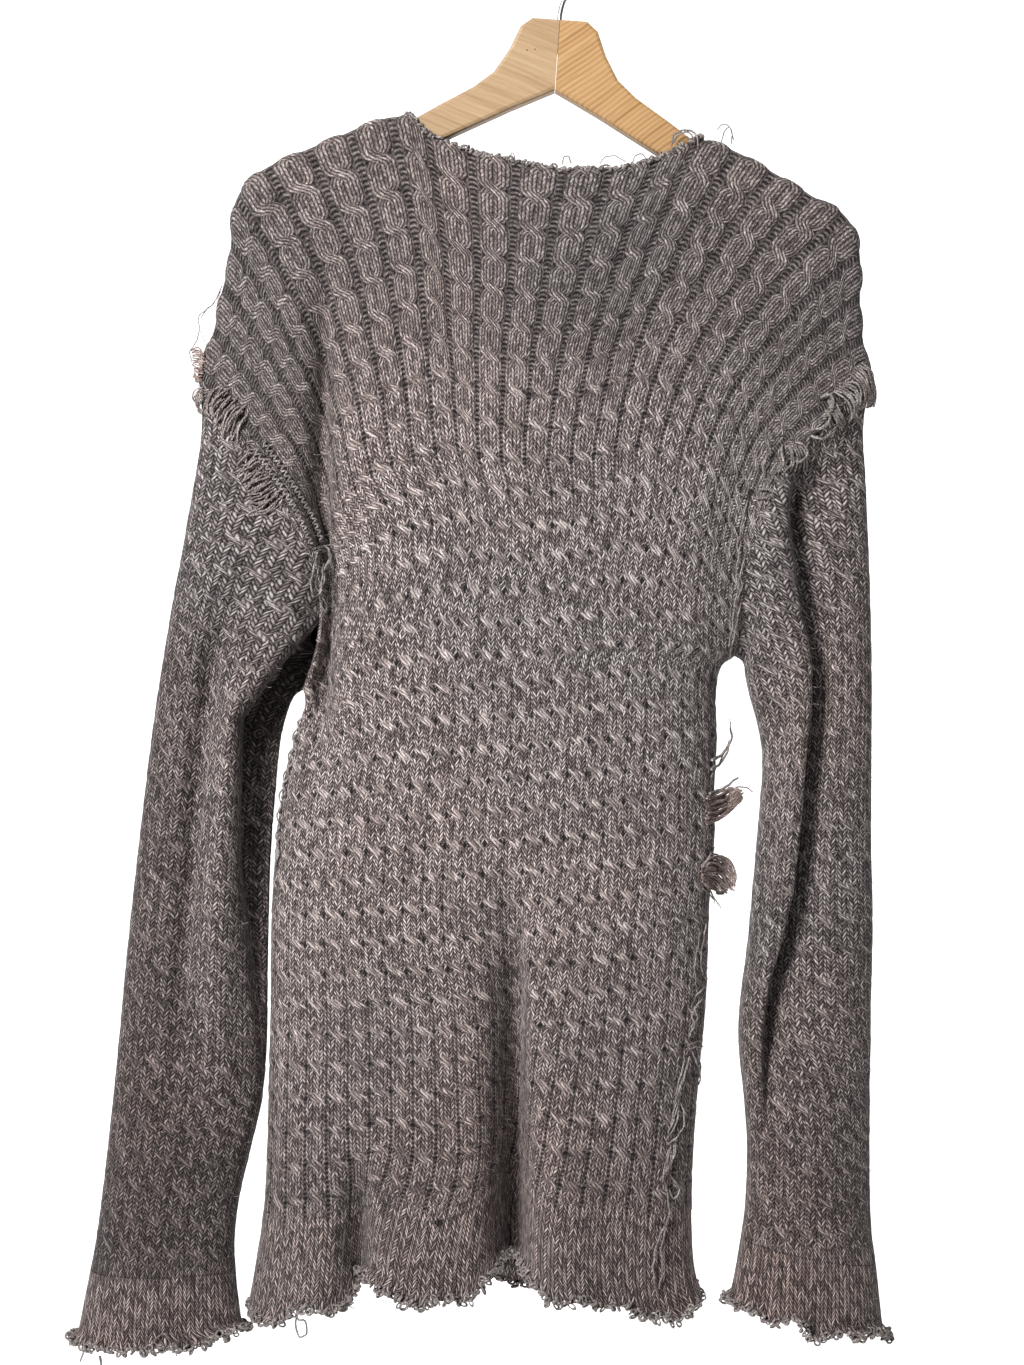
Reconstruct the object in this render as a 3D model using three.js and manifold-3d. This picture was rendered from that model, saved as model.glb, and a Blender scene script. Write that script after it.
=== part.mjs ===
// A darned wool sweater hanging on a two-piece wooden hanger.
// Millimetres, +Z up, -Y is the front of the sweater.
// The origin is the inside top of the hanger's hook, where a rail carries it.
//
// Each knitted piece is a wall: a grid of points on the middle of the cloth, given half the
// thickness outwards and half inwards. "across" runs over the knit's columns, "down" along them.

import * as THREE from 'three';
import Module from 'manifold-3d';
import { mergeVertices } from 'three/addons/utils/BufferGeometryUtils.js';

// ---------------------------------------------------------------- driving sizes
const CLOTH = 2.6;              // thickness of the cable knit
const SEAM_GAP = 0.3;           // clear gap where two pieces meet
const ARMHOLE_GAP = 0.9;        // the armhole seams bend sharply, so they keep a little more
const ARM_HALF_THICKNESS = 6;   // the hanger is 12 mm thick
const ARM_BEVEL = 2.5;
const OVER_ARM = 10;            // radius of the cloth's middle where it bends over an arm
const HANGER_TOP = -60;         // top of the wood under the hook
const HANGER_TILT = 0.07;       // the hanger leans down to the right, in radians
const HOOK_WIRE = 3.4;
const HOOK_INSIDE_RADIUS = 21;

const ARMPIT_DOWN = 0.40;       // share of a panel's length where the armhole ends
const RIB_DOWN = 0.92;          // share where the hem rib starts
const BODY_DEPTH = 37;          // how far the chest stands out in front of the hanger
const BACK_DEPTH = 33;
const ARMHOLE_DEPTH = 26;

// Outline points are [x, z].
const LEFT_SHOULDER = [
  [-253, -308], [-242, -280], [-236.5, -253], [-231.5, -234], [-229.5, -215], [-228.5, -197],
  [-225.5, -186], [-216.5, -173.5], [-204, -165], [-159, -145.5], [-124, -131.5], [-107, -129],
];
const NECK_FRONT = [
  [-107, -129], [-90, -145], [-56, -158], [-18, -167], [20, -170], [52, -166], [76, -157], [98, -145.4],
];
const NECK_BACK = [
  [-107, -129], [-92, -140], [-56, -157], [-18, -171], [20, -176], [52, -171], [76, -157], [98, -145.4],
];
const RIGHT_SHOULDER = [
  [98, -145.4], [116, -151], [150, -169.5], [185, -190.3], [194, -194.5], [203, -204.5],
  [208, -216], [209.7, -235], [209.7, -269], [213.5, -296], [219, -314],
];
const LEFT_ARMHOLE = [
  [-253, -308], [-219, -357], [-188, -405], [-170.5, -441], [-166.5, -475], [-170, -503], [-179, -529],
];
const RIGHT_ARMHOLE = [[219, -314], [180, -347], [148, -382], [130, -434], [122, -506]];
const LEFT_SIDE = [
  [-179, -529], [-177.5, -540], [-183.5, -560], [-191, -590], [-196, -640], [-198.5, -690],
  [-199, -747], [-200.5, -790], [-203, -851], [-206, -891], [-212.5, -934], [-217, -960],
];
const RIGHT_SIDE = [
  [122, -506], [113.5, -511.5], [109.8, -520], [108.3, -534], [109, -566], [107.2, -598], [107.4, -630],
  [103.7, -681], [101.4, -745], [95.3, -811], [92, -859], [91, -899], [93.2, -934], [98, -952],
];

// ---------------------------------------------------------------- small maths
const clamp01 = (x) => Math.min(1, Math.max(0, x));
const mix = (a, b, t) => a + (b - a) * t;
const ramp = (x, from, to) => {
  const t = clamp01((x - from) / (to - from));
  return t * t * (3 - 2 * t);
};
const hump = (x, middle, width) => Math.exp(-(((x - middle) / width) ** 2));

// A smooth line through a few [x, z] points, read by the share of its length.
function line(points) {
  const path = new THREE.CatmullRomCurve3(
    points.map(([x, z]) => new THREE.Vector3(x, 0, z)), false, 'centripetal');
  path.arcLengthDivisions = 600;
  return (share) => {
    const p = path.getPointAt(clamp01(share));
    return [p.x, p.z];
  };
}

// ---------------------------------------------------------------- front and back panels
const leftShoulder = line(LEFT_SHOULDER);
const rightShoulder = line(RIGHT_SHOULDER);
const neckFront = line(NECK_FRONT);
const neckBack = line(NECK_BACK);
const leftArmhole = line(LEFT_ARMHOLE);
const rightArmhole = line(RIGHT_ARMHOLE);
const leftSide = line(LEFT_SIDE);
const rightSide = line(RIGHT_SIDE);
const NECK_FROM = 0.364;        // shares of the top edge where the neck opening starts and ends
const NECK_TO = 0.655;
const NECK_BELOW_ARMS = 92;     // how far the neck's lowest point is under the line of the arms

function topEdge(across, front) {
  if (across <= NECK_FROM) return leftShoulder(across / NECK_FROM);
  if (across >= NECK_TO) return rightShoulder((across - NECK_TO) / (1 - NECK_TO));
  return (front ? neckFront : neckBack)((across - NECK_FROM) / (NECK_TO - NECK_FROM));
}

const edgeAt = (armhole, side, down) => (down < ARMPIT_DOWN
  ? armhole(down / ARMPIT_DOWN)
  : side((down - ARMPIT_DOWN) / (1 - ARMPIT_DOWN)));

// How far the armhole's seam stands out from the plane of the hanger. The left one, in front,
// falls back into the shadow under the arm for its last fifth.
function armholeDepth(share, tucked) {
  const oval = Math.sqrt(Math.max(0, 4 * share * (1 - share))) ** 1.1;
  return ARMHOLE_DEPTH * oval * (tucked ? 1 - 0.35 * ramp(share, 0.6, 0.95) : 1);
}

// The cloth bends over the arms with a round of OVER_ARM, then falls outwards to the chest.
function depthBelowArms(drop, fullest) {
  if (drop < OVER_ARM) return Math.sqrt(OVER_ARM ** 2 - (OVER_ARM - drop) ** 2);
  return OVER_ARM + (fullest - OVER_ARM) * ramp(drop, OVER_ARM, 330);
}

// The scalloped lower edge: how far each column ends below the straight hem.
function hemDrop(across, front) {
  if (!front) return 3 * Math.sin(13 * across) + 2 * Math.sin(31 * across + 1);
  const arch = 11.5 * Math.max(0, Math.sin(Math.PI * across)) ** 0.7;
  const lift = 16 * hump(across, 0.32, 0.05) + 24 * hump(across, 0.56, 0.065);
  const lobes = 7 * hump(across, 0.07, 0.08) + 14 * hump(across, 0.9, 0.1);
  return lobes - lift - arch - 1.5 + 1.2 * Math.sin(38 * across);
}

function panelPoint(across, down, front) {
  const fullest = front ? BODY_DEPTH : BACK_DEPTH;
  const even = across - 0.22 * Math.sin(2 * Math.PI * across) / (2 * Math.PI);
  const [lx, lz] = edgeAt(leftArmhole, leftSide, down);
  const [rx, rz] = edgeAt(rightArmhole, rightSide, down);
  const [tx, tz] = topEdge(across, front);
  const [cornerLX, cornerLZ] = leftArmhole(0);
  const [cornerRX, cornerRZ] = rightArmhole(0);
  const fan = (1 - down) * Math.exp(-down / 0.17);
  const hill = Math.max(0, 1 - down / ARMPIT_DOWN);
  const towardsHem = ramp(down, 0.72, 1);
  const x = mix(lx, rx, even) + fan * (tx - mix(cornerLX, cornerRX, even));
  const z = mix(lz, rz, even) + hill * (tz - mix(cornerLZ, cornerRZ, even))
    - towardsHem * hemDrop(across, front) * Math.min(1, 12 * across, 12 * (1 - across));
  const neck = Math.sin(Math.PI * clamp01((across - NECK_FROM) / (NECK_TO - NECK_FROM)));
  const drop = Math.hypot(x - tx, z - tz) + NECK_BELOW_ARMS * neck;
  const middle = depthBelowArms(drop, fullest) + 7 * ramp(down, 0.5, 1);
  const round = Math.sqrt(Math.max(0, 1 - Math.abs(2 * across - 1) ** 3.2));
  const share = clamp01(down / ARMPIT_DOWN);
  let depth = mix(armholeDepth(share, front && across < 0.5), middle, round);
  if (front) {
    const low = ramp(down, 0.62, 1);
    depth -= 30 * low * hump(x, -36, 15) - 8 * low * hump(x, 5, 22);
    depth -= 17 * ramp(down, 0.82, 1) * hump(x, -140, 13) - 5 * low * hump(x, -90, 26);
    const besideArmhole = ramp(across, 0, 0.05) * ramp(down, 0.05, 0.2) * (1 - ramp(down, 0.38, 0.5));
    depth -= 12 * besideArmhole * hump(x, -168, 15);
  } else {
    const low = ramp(down, 0.55, 1);
    depth -= 18 * low * hump(x, 40, 18) + 14 * low * hump(x, -110, 16);
  }
  const clear = SEAM_GAP / 2;
  return new THREE.Vector3(x, (front ? -1 : 1) * Math.max(clear, depth), z);
}

// Rows are close together where the cloth bends over the arms.
const ARMHOLE_ROWS = [0, 0.0025, 0.0085, 0.02, 0.045, 0.09, 0.145, 0.2, 0.255, 0.31, 0.36, 0.4];
const FRONT_ROWS = [...ARMHOLE_ROWS, 0.44, 0.48, 0.525, 0.57, 0.615, 0.66, 0.705, 0.75, 0.795, 0.84, 0.88, RIB_DOWN];
const BACK_ROWS = [...ARMHOLE_ROWS, 0.46, 0.53, 0.6, 0.67, 0.74, 0.81, 0.87, RIB_DOWN];
const RIB_ROWS = [RIB_DOWN, 0.95, 0.98, 1];
const PANEL_COLUMNS = [
  0, 0.012, 0.04, 0.085, 0.135, 0.176, 0.21, 0.26, 0.31, 0.364, 0.37, 0.41, 0.455, 0.5, 0.54, 0.58, 0.615,
  0.649, 0.655, 0.71, 0.765, 0.81, 0.838, 0.87, 0.92, 0.96, 0.988, 1,
];

// ---------------------------------------------------------------- sleeves
// A sleeve is a stack of rings. The first ring is the armhole and leans; the last is level.
// "turn" runs from 0 at the outer edge to 1 at the inner edge, on the front and on the back.
const LEFT_OUTER = [
  [-253, -308], [-250, -345], [-261, -419], [-272, -480], [-283, -550], [-300, -694], [-312, -818],
  [-324, -916], [-337, -984],
];
const LEFT_INNER = [
  [-179, -529], [-186, -534], [-194, -555], [-200, -607], [-203, -650], [-204.5, -720], [-206, -786],
  [-209.2, -818], [-214, -839], [-219, -860], [-224, -881], [-228, -912], [-227, -945], [-223, -976],
];
const RIGHT_OUTER = [
  [219, -314], [212, -340], [213.5, -392], [217, -500], [217, -640], [218, -692], [216.5, -764],
  [216.5, -898], [221, -941], [225, -979],
];
const RIGHT_INNER = [
  [122, -506], [128, -510.5], [131.5, -529], [140, -562], [142, -585], [140, -612], [136, -657],
  [131, -710], [126.5, -745], [125, -774], [129, -817], [131, -848], [130, -885], [127, -912],
  [123, -936], [119, -955],
];

const leftSleeve = {
  armhole: leftArmhole,
  outer: line(LEFT_OUTER),
  inner: line(LEFT_INNER),
  // A ridge runs down the front; inside it the cloth falls back to a shadowed strip.
  fold(turn, down) {
    const edge = mix(0.76, 0.88, ramp(down, 0.4, 0.85));
    const strength = ramp(down, 0, 0.08) * (1 - ramp(down, 0.5, 0.85));
    const strip = 21 * strength * ramp(turn, edge - 0.08, edge + 0.12);
    const ridge = 6 * strength * hump(turn, edge - 0.16, 0.13);
    const trough = 10 * ramp(down, 0.08, 0.25) * (1 - ramp(down, 0.75, 0.95))
      * hump(turn, 0.42 + 0.06 * down, 0.075);
    return ridge - strip - trough;
  },
};

const rightSleeve = {
  armhole: rightArmhole,
  outer: line(RIGHT_OUTER),
  inner: line(RIGHT_INNER),
  // The inner half laps forward over the outer half along one long crease.
  fold(turn, down) {
    const edge = mix(0.48, 0.84, ramp(down, 0.38, 0.8));
    const strength = ramp(down, 0.03, 0.14) * (1 - ramp(down, 0.62, 0.84));
    const behind = turn < edge ? Math.exp((turn - edge) / 0.22) : 1 - ramp(turn, edge, edge + 0.16);
    const lap = 5 * hump(turn, edge + 0.2, 0.13);
    return strength * (lap - 19 * behind);
  },
};

const isLeft = (sleeve) => sleeve === leftSleeve;
const SLEEVE_FRONT_DEPTH = 30;
const SLEEVE_BACK_DEPTH = 24;
const CUFF_DOWN = 0.925;

function sleevePoint(sleeve, turn, down, front) {
  const [ox, oz] = sleeve.outer(down);
  const [ix, iz] = sleeve.inner(down ** 1.3);
  const [ax, az] = sleeve.armhole(turn);
  const [topX, topZ] = sleeve.armhole(0);
  const [pitX, pitZ] = sleeve.armhole(1);
  const seamShape = 1 - ramp(down, 0, 0.22);
  const x = mix(ox, ix, turn) + seamShape * (ax - mix(topX, pitX, turn));
  const ruffle = ramp(down, CUFF_DOWN, 1) * (3 * Math.sin(9 * turn + (front ? 0 : 2)) + 2 * Math.sin(23 * turn));
  const z = mix(oz, iz, turn) + seamShape * (az - mix(topZ, pitZ, turn)) + ruffle * Math.sin(Math.PI * turn);
  const fullest = front ? SLEEVE_FRONT_DEPTH : SLEEVE_BACK_DEPTH;
  const oval = Math.sqrt(Math.max(0, 4 * turn * (1 - turn))) ** 0.9;
  const seam = armholeDepth(turn, front && isLeft(sleeve));
  let depth = mix(seam, fullest * oval * (1 - 0.12 * down), ramp(down, 0, 0.12));
  if (front) depth += sleeve.fold(turn, down) * Math.min(1, oval * 1.15);
  else depth -= 8 * ramp(down, 0.1, 0.3) * (1 - ramp(down, 0.8, 1)) * hump(turn, 0.5, 0.09);
  const least = 3.5 * Math.min(1, 14 * turn, 14 * (1 - turn));
  return new THREE.Vector3(x, (front ? -1 : 1) * Math.max(least, depth), z);
}

// Sleeve rings use the armhole's own rows, so the seam's two edges have the same points.
const FRONT_TURNS = ARMHOLE_ROWS.map((down) => down / ARMPIT_DOWN);
const SLEEVE_ROWS = [
  0, 0.03, 0.07, 0.115, 0.165, 0.215, 0.265, 0.32, 0.38, 0.44, 0.5, 0.56, 0.62, 0.68, 0.74,
  0.8, 0.865, CUFF_DOWN,
];
const CUFF_ROWS = [CUFF_DOWN, 0.95, 0.975, 1];

// ---------------------------------------------------------------- walls from grids
// A grid is an array of rows of points. A tube's rows close on themselves.
function gridNormals(grid, closed) {
  const rows = grid.length;
  const columns = grid[0].length;
  const normals = grid.map((row) => row.map(() => new THREE.Vector3()));
  const lastColumn = closed ? columns : columns - 1;
  for (let i = 0; i < rows - 1; i += 1) {
    for (let j = 0; j < lastColumn; j += 1) {
      const k = (j + 1) % columns;
      const diagonalA = grid[i + 1][k].clone().sub(grid[i][j]);
      const diagonalB = grid[i + 1][j].clone().sub(grid[i][k]);
      const face = diagonalB.cross(diagonalA);
      for (const [a, b] of [[i, j], [i, k], [i + 1, j], [i + 1, k]]) normals[a][b].add(face);
    }
  }
  for (const row of normals) for (const normal of row) normal.normalize();
  return normals;
}

// The closed wall around a grid: an outer skin, an inner skin and the rims between them.
function wall(grid, normals, closed, outerHalf = CLOTH / 2, innerHalf = CLOTH / 2) {
  const rows = grid.length;
  const columns = grid[0].length;
  const positions = [];
  for (const offset of [outerHalf, -innerHalf]) {
    grid.forEach((row, i) => row.forEach((point, j) => {
      positions.push(...point.clone().addScaledVector(normals[i][j], offset).toArray());
    }));
  }
  const outer = (i, j) => i * columns + (j % columns);
  const inner = (i, j) => rows * columns + outer(i, j);
  const triangles = [];
  const quad = (a, b, c, d) => triangles.push(a, b, c, a, c, d);
  const lastColumn = closed ? columns : columns - 1;
  for (let i = 0; i < rows - 1; i += 1) {
    for (let j = 0; j < lastColumn; j += 1) {
      quad(outer(i, j), outer(i + 1, j), outer(i + 1, j + 1), outer(i, j + 1));
      quad(inner(i, j), inner(i, j + 1), inner(i + 1, j + 1), inner(i + 1, j));
    }
  }
  for (let j = 0; j < lastColumn; j += 1) {
    quad(outer(0, j), outer(0, j + 1), inner(0, j + 1), inner(0, j));
    quad(outer(rows - 1, j + 1), outer(rows - 1, j), inner(rows - 1, j), inner(rows - 1, j + 1));
  }
  if (!closed) {
    for (let i = 0; i < rows - 1; i += 1) {
      quad(outer(i + 1, 0), outer(i, 0), inner(i, 0), inner(i + 1, 0));
      quad(outer(i, columns - 1), outer(i + 1, columns - 1), inner(i + 1, columns - 1), inner(i, columns - 1));
    }
  }
  const geometry = new THREE.BufferGeometry();
  geometry.setAttribute('position', new THREE.Float32BufferAttribute(positions, 3));
  geometry.setIndex(triangles);
  return geometry;
}

// ---------------------------------------------------------------- the four knitted tubes and panels
const panelGrid = (rows, front) => rows.map((down) => {
  const row = PANEL_COLUMNS.map((across) => panelPoint(across, down, front));
  return front ? row : row.reverse();
});

// Round a sleeve: the front's turns, then the back's, so that the outside is always on the same hand.
function sleeveRing(sleeve, down) {
  const turns = FRONT_TURNS;
  const front = turns.map((turn) => sleevePoint(sleeve, turn, down, true));
  const back = turns.slice(1, -1).map((turn) => sleevePoint(sleeve, turn, down, false));
  for (const end of [front[0], front[turns.length - 1]]) end.y = 0;
  return isLeft(sleeve) ? [...front, ...back.reverse()] : [...front.reverse(), ...back];
}
const sleeveGrid = (sleeve, rows) => rows.map((down) => sleeveRing(sleeve, down));

const withNormals = (grid, closed) => ({ grid, closed, normals: gridNormals(grid, closed) });
const pieces = {
  front_panel: withNormals(panelGrid(FRONT_ROWS, true), false),
  back_panel: withNormals(panelGrid(BACK_ROWS, false), false),
  front_hem_rib: withNormals(panelGrid(RIB_ROWS, true), false),
  back_hem_rib: withNormals(panelGrid(RIB_ROWS, false), false),
  left_sleeve: withNormals(sleeveGrid(leftSleeve, SLEEVE_ROWS), true),
  right_sleeve: withNormals(sleeveGrid(rightSleeve, SLEEVE_ROWS), true),
  left_cuff: withNormals(sleeveGrid(leftSleeve, CUFF_ROWS), true),
  right_cuff: withNormals(sleeveGrid(rightSleeve, CUFF_ROWS), true),
};

// Vertices that share a seam share one thickness direction, so their rims face each other.
const at = (name, row, column) => {
  const { grid } = pieces[name];
  const wrap = (i, length) => (i + length) % length;
  return { name, row: wrap(row, grid.length), column: wrap(column, grid[0].length) };
};
const normalOf = ({ name, row, column }) => pieces[name].normals[row][column];
function shareNormal(places, inPlane = false) {
  const sum = new THREE.Vector3();
  for (const place of places) sum.add(normalOf(place));
  if (inPlane) sum.y = 0;
  sum.normalize();
  for (const place of places) normalOf(place).copy(sum);
}
// A seam point steps back from the seam towards its neighbour, square to the seam and to its rim.
const nudges = [];
function openGap(place, neighbour, gap = SEAM_GAP) {
  const { grid, normals, closed } = pieces[place.name];
  const alongRow = place.column === neighbour.column;
  const beside = (shift) => {
    const row = alongRow ? place.row : place.row + shift;
    const column = alongRow ? place.column + shift : place.column;
    const columns = grid[0].length;
    if (closed) return grid[row][(column + columns) % columns];
    return grid[Math.min(grid.length - 1, Math.max(0, row))][Math.min(columns - 1, Math.max(0, column))];
  };
  const seam = beside(1).clone().sub(beside(-1)).normalize();
  const rim = normals[place.row][place.column];
  const across = new THREE.Vector3().crossVectors(seam, rim).normalize();
  const point = grid[place.row][place.column];
  const inwards = grid[neighbour.row][neighbour.column].clone().sub(point);
  nudges.push([point, across.multiplyScalar(Math.sign(across.dot(inwards)) * gap / 2)]);
}

const LAST = -1;
const ARM_ROWS = ARMHOLE_ROWS.length;
for (let i = 0; i < ARM_ROWS; i += 1) {
  const ends = i === 0 || i === ARM_ROWS - 1;
  const ring = 2 * (ARM_ROWS - 1);
  const fronts = [[at('front_panel', i, 0), at('left_sleeve', 0, i)],
    [at('front_panel', i, LAST), at('right_sleeve', 0, ARM_ROWS - 1 - i)]];
  const backs = [[at('back_panel', i, LAST), at('left_sleeve', 0, ring - i)],
    [at('back_panel', i, 0), at('right_sleeve', 0, ARM_ROWS - 1 + i)]];
  fronts.forEach((pair, side) => {
    const group = ends ? [...pair, backs[side][0]] : pair;
    shareNormal(group, ends);
    if (!ends) shareNormal(backs[side]);
    if (i === ARM_ROWS - 1) for (const place of group) normalOf(place).set(side === 0 ? -0.3 : 0.3, 0, -0.954);
  });
}
for (const name of ['front_panel', 'back_panel', 'front_hem_rib', 'back_hem_rib']) {
  const first = name.endsWith('panel') ? ARM_ROWS : 0;
  for (let i = first; i < pieces[name].grid.length; i += 1) {
    shareNormal([at(name, i, 0)], true);
    shareNormal([at(name, i, LAST)], true);
  }
}
PANEL_COLUMNS.forEach((across, j) => {
  const mirrored = PANEL_COLUMNS.length - 1 - j;
  const inner = j > 0 && mirrored > 0;
  if (inner && (across <= NECK_FROM || across >= NECK_TO)) {
    shareNormal([at('front_panel', 0, j), at('back_panel', 0, mirrored)], true);
  }
  shareNormal([at('front_panel', LAST, j), at('front_hem_rib', 0, j)], !inner);
  shareNormal([at('back_panel', LAST, j), at('back_hem_rib', 0, j)], !inner);
  openGap(at('front_panel', LAST, j), at('front_panel', -2, j));
  openGap(at('front_hem_rib', 0, j), at('front_hem_rib', 1, j));
  openGap(at('back_panel', LAST, j), at('back_panel', -2, j));
  openGap(at('back_hem_rib', 0, j), at('back_hem_rib', 1, j));
});
for (const side of ['left', 'right']) {
  const sleeve = `${side}_sleeve`;
  const cuff = `${side}_cuff`;
  for (let j = 0; j < pieces[sleeve].grid[0].length; j += 1) {
    shareNormal([at(sleeve, LAST, j), at(cuff, 0, j)]);
    openGap(at(sleeve, LAST, j), at(sleeve, -2, j));
    openGap(at(cuff, 0, j), at(cuff, 1, j));
    openGap(at(sleeve, 0, j), at(sleeve, 1, j), ARMHOLE_GAP);
  }
}
for (let i = 0; i < ARM_ROWS; i += 1) {
  for (const name of ['front_panel', 'back_panel']) {
    openGap(at(name, i, 0), at(name, i, 1), ARMHOLE_GAP);
    openGap(at(name, i, LAST), at(name, i, -2), ARMHOLE_GAP);
  }
}
for (const [point, step] of nudges) point.add(step);

// ---------------------------------------------------------------- loose yarn at the seams
// Each fringe is a plain thin solid of the yarn's reach.
const FRINGE = 2;               // thickness of a fringe solid
const FRINGE_CLEAR = 1.5;       // its gap to the cloth behind it

// A strip that lies on a surface, lifted off it.
function fringeOnSurface(pointAt, acrossList, downList) {
  const grid = downList.map((down) => acrossList.map((across) => pointAt(across, down)));
  const normals = gridNormals(grid, false);
  const lift = CLOTH / 2 + FRINGE_CLEAR;
  return wall(grid, normals, false, lift + FRINGE, -lift);
}
const steps = (from, to, count) => Array.from({ length: count + 1 }, (_, i) => mix(from, to, i / count));

// A thin plate beside a side seam: an outline of [x, z] points, centred on the seam's plane.
function fringePlate(outline) {
  const shape = new THREE.Shape(outline.map(([x, z]) => new THREE.Vector2(x, z)));
  const geometry = new THREE.ExtrudeGeometry(shape, { depth: FRINGE, bevelEnabled: false });
  return geometry.rotateX(Math.PI / 2).translate(0, FRINGE / 2, 0);
}

const besideSide = (side, out, from, to, count) => steps(from, to, count).map((share) => {
  const [x, z] = side(share);
  return [x + out, z];
});

const fringes = {
  left_armhole_fringe: fringeOnSurface(
    (turn, down) => sleevePoint(leftSleeve, turn, down, true), steps(0.16, 0.66, 6), steps(0.02, 0.07, 2)),
  right_armhole_fringe: fringeOnSurface(
    (turn, down) => sleevePoint(rightSleeve, 1 - turn, down, true), steps(0.42, 0.9, 6), steps(0.02, 0.07, 2)),
  left_side_fringe: fringePlate([
    ...besideSide(leftSide, -2.2, 0.12, 0.3, 6), ...besideSide(leftSide, -4, 0.12, 0.3, 6).reverse()]),
  right_side_fringe: fringePlate([
    ...besideSide(rightSide, 2.2, 0.1, 0.42, 5), [119, -700], [125, -680], [125, -630], [131, -600], [124, -550]]),
  right_side_floats: fringeOnSurface(
    (across, down) => panelPoint(across, down, true), [0.925, 0.95, 0.975], steps(0.74, 0.9, 4)),
};

// ---------------------------------------------------------------- the hanger
const wasm = await Module();
wasm.setup();

function toSolid(geometry) {
  const bare = geometry.index ? geometry.toNonIndexed() : geometry.clone();
  bare.deleteAttribute('normal');
  bare.deleteAttribute('uv');
  const merged = mergeVertices(bare, 1e-4);
  return new wasm.Manifold(new wasm.Mesh({
    numProp: 3,
    vertProperties: merged.attributes.position.array,
    triVerts: new Uint32Array(merged.index.array),
  }));
}

function toGeometry(solid) {
  const mesh = solid.getMesh();
  const geometry = new THREE.BufferGeometry();
  geometry.setAttribute('position', new THREE.Float32BufferAttribute(mesh.vertProperties, 3));
  geometry.setIndex(Array.from(mesh.triVerts));
  return geometry;
}

// Half the hanger's outline, from the joint at the top, out over the arm and back along its underside.
const HALF_TOP = [[19, -2.5], [27, -9], [34, -26], [43.5, -42], [57, -53.5], [80, -67.8], [104, -83.5],
  [130, -95], [170, -114], [194, -126]];
const HALF_END = [[202, -131], [206, -138], [203, -145], [194, -147.5]];
const HALF_UNDER = [[130, -118], [79, -93.5], [30, -67], [0, -52]];

function hangerBlank() {
  const mirrored = (points) => points.map(([x, z]) => [-x, z]).reverse();
  const right = [...HALF_TOP, ...HALF_END, ...HALF_UNDER];
  const outline = [...right, ...mirrored(right.slice(0, -1))];
  const inset = ([x, z]) => new THREE.Vector2(x, z);
  const geometry = new THREE.ExtrudeGeometry(new THREE.Shape(outline.map(inset)), {
    depth: 2 * (ARM_HALF_THICKNESS - ARM_BEVEL),
    bevelEnabled: true,
    bevelThickness: ARM_BEVEL,
    bevelSize: ARM_BEVEL,
    bevelOffset: -ARM_BEVEL,
    bevelSegments: 2,
  });
  geometry.rotateX(Math.PI / 2).translate(0, ARM_HALF_THICKNESS - ARM_BEVEL, 0);
  return toSolid(geometry);
}

const boxSolid = (x0, x1) => toSolid(new THREE.BoxGeometry(x1 - x0, 40, 400).translate((x0 + x1) / 2, 0, -100));
const BORE_DEPTH = 26;
const boreSolid = toSolid(new THREE.CylinderGeometry(HOOK_WIRE / 2 + SEAM_GAP, HOOK_WIRE / 2 + SEAM_GAP, 60, 16)
  .rotateX(Math.PI / 2).translate(0, 0, 30 - BORE_DEPTH));
const blank = hangerBlank().subtract(boreSolid);
const halves = {
  hanger_left_half: toGeometry(blank.intersect(boxSolid(-300, -SEAM_GAP / 2))),
  hanger_right_half: toGeometry(blank.intersect(boxSolid(SEAM_GAP / 2, 300))),
};

// The hook's wire: a stem in line with the hanger, then a round bend over the rail.
function hookGeometry() {
  const bend = HOOK_INSIDE_RADIUS + HOOK_WIRE / 2;
  const middleZ = -HOOK_INSIDE_RADIUS;
  const lean = Math.sin(HANGER_TILT);
  const stem = [1 - BORE_DEPTH, -10, 4].map((up) => new THREE.Vector3(up * lean, 0, HANGER_TOP + up));
  const arc = [];
  for (let degrees = -58; degrees <= 208; degrees += 19) {
    const angle = THREE.MathUtils.degToRad(degrees);
    arc.push(new THREE.Vector3(bend * Math.cos(angle), 0, middleZ + bend * Math.sin(angle)));
  }
  const path = new THREE.CatmullRomCurve3([...stem, new THREE.Vector3(3.5, 0, -47), ...arc], false, 'centripetal');
  const round = new THREE.Shape().absarc(0, 0, HOOK_WIRE / 2, 0, 2 * Math.PI);
  return new THREE.ExtrudeGeometry(round, { steps: 40, curveSegments: 5, bevelEnabled: false, extrudePath: path });
}

// ---------------------------------------------------------------- the whole object
const material = (color, roughness, metalness) => new THREE.MeshStandardMaterial({ color, roughness, metalness });
const knit = material(0x6a6260, 0.95, 0);
const rib = material(0x665d5b, 0.95, 0);
const looseYarn = material(0x746a68, 0.95, 0);
const paleWood = material(0xdcb98a, 0.5, 0);
const warmWood = material(0xd8a870, 0.5, 0);
const steel = material(0xb8bcc0, 0.3, 1);

const part = new THREE.Group();
function add(name, geometry, finish, parent = part) {
  const mesh = new THREE.Mesh(geometry, finish);
  mesh.name = name;
  parent.add(mesh);
  return mesh;
}

for (const [name, { grid, normals, closed }] of Object.entries(pieces)) {
  add(name, wall(grid, normals, closed), name.endsWith('rib') || name.endsWith('cuff') ? rib : knit);
}
for (const [name, geometry] of Object.entries(fringes)) add(name, geometry, looseYarn);

const hanger = new THREE.Group();
hanger.position.z = HANGER_TOP;
hanger.rotation.y = HANGER_TILT;
part.add(hanger);
add('hanger_left_half', halves.hanger_left_half, paleWood, hanger);
add('hanger_right_half', halves.hanger_right_half, warmWood, hanger);
add('hanger_hook', hookGeometry(), steel);

export default part;
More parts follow.
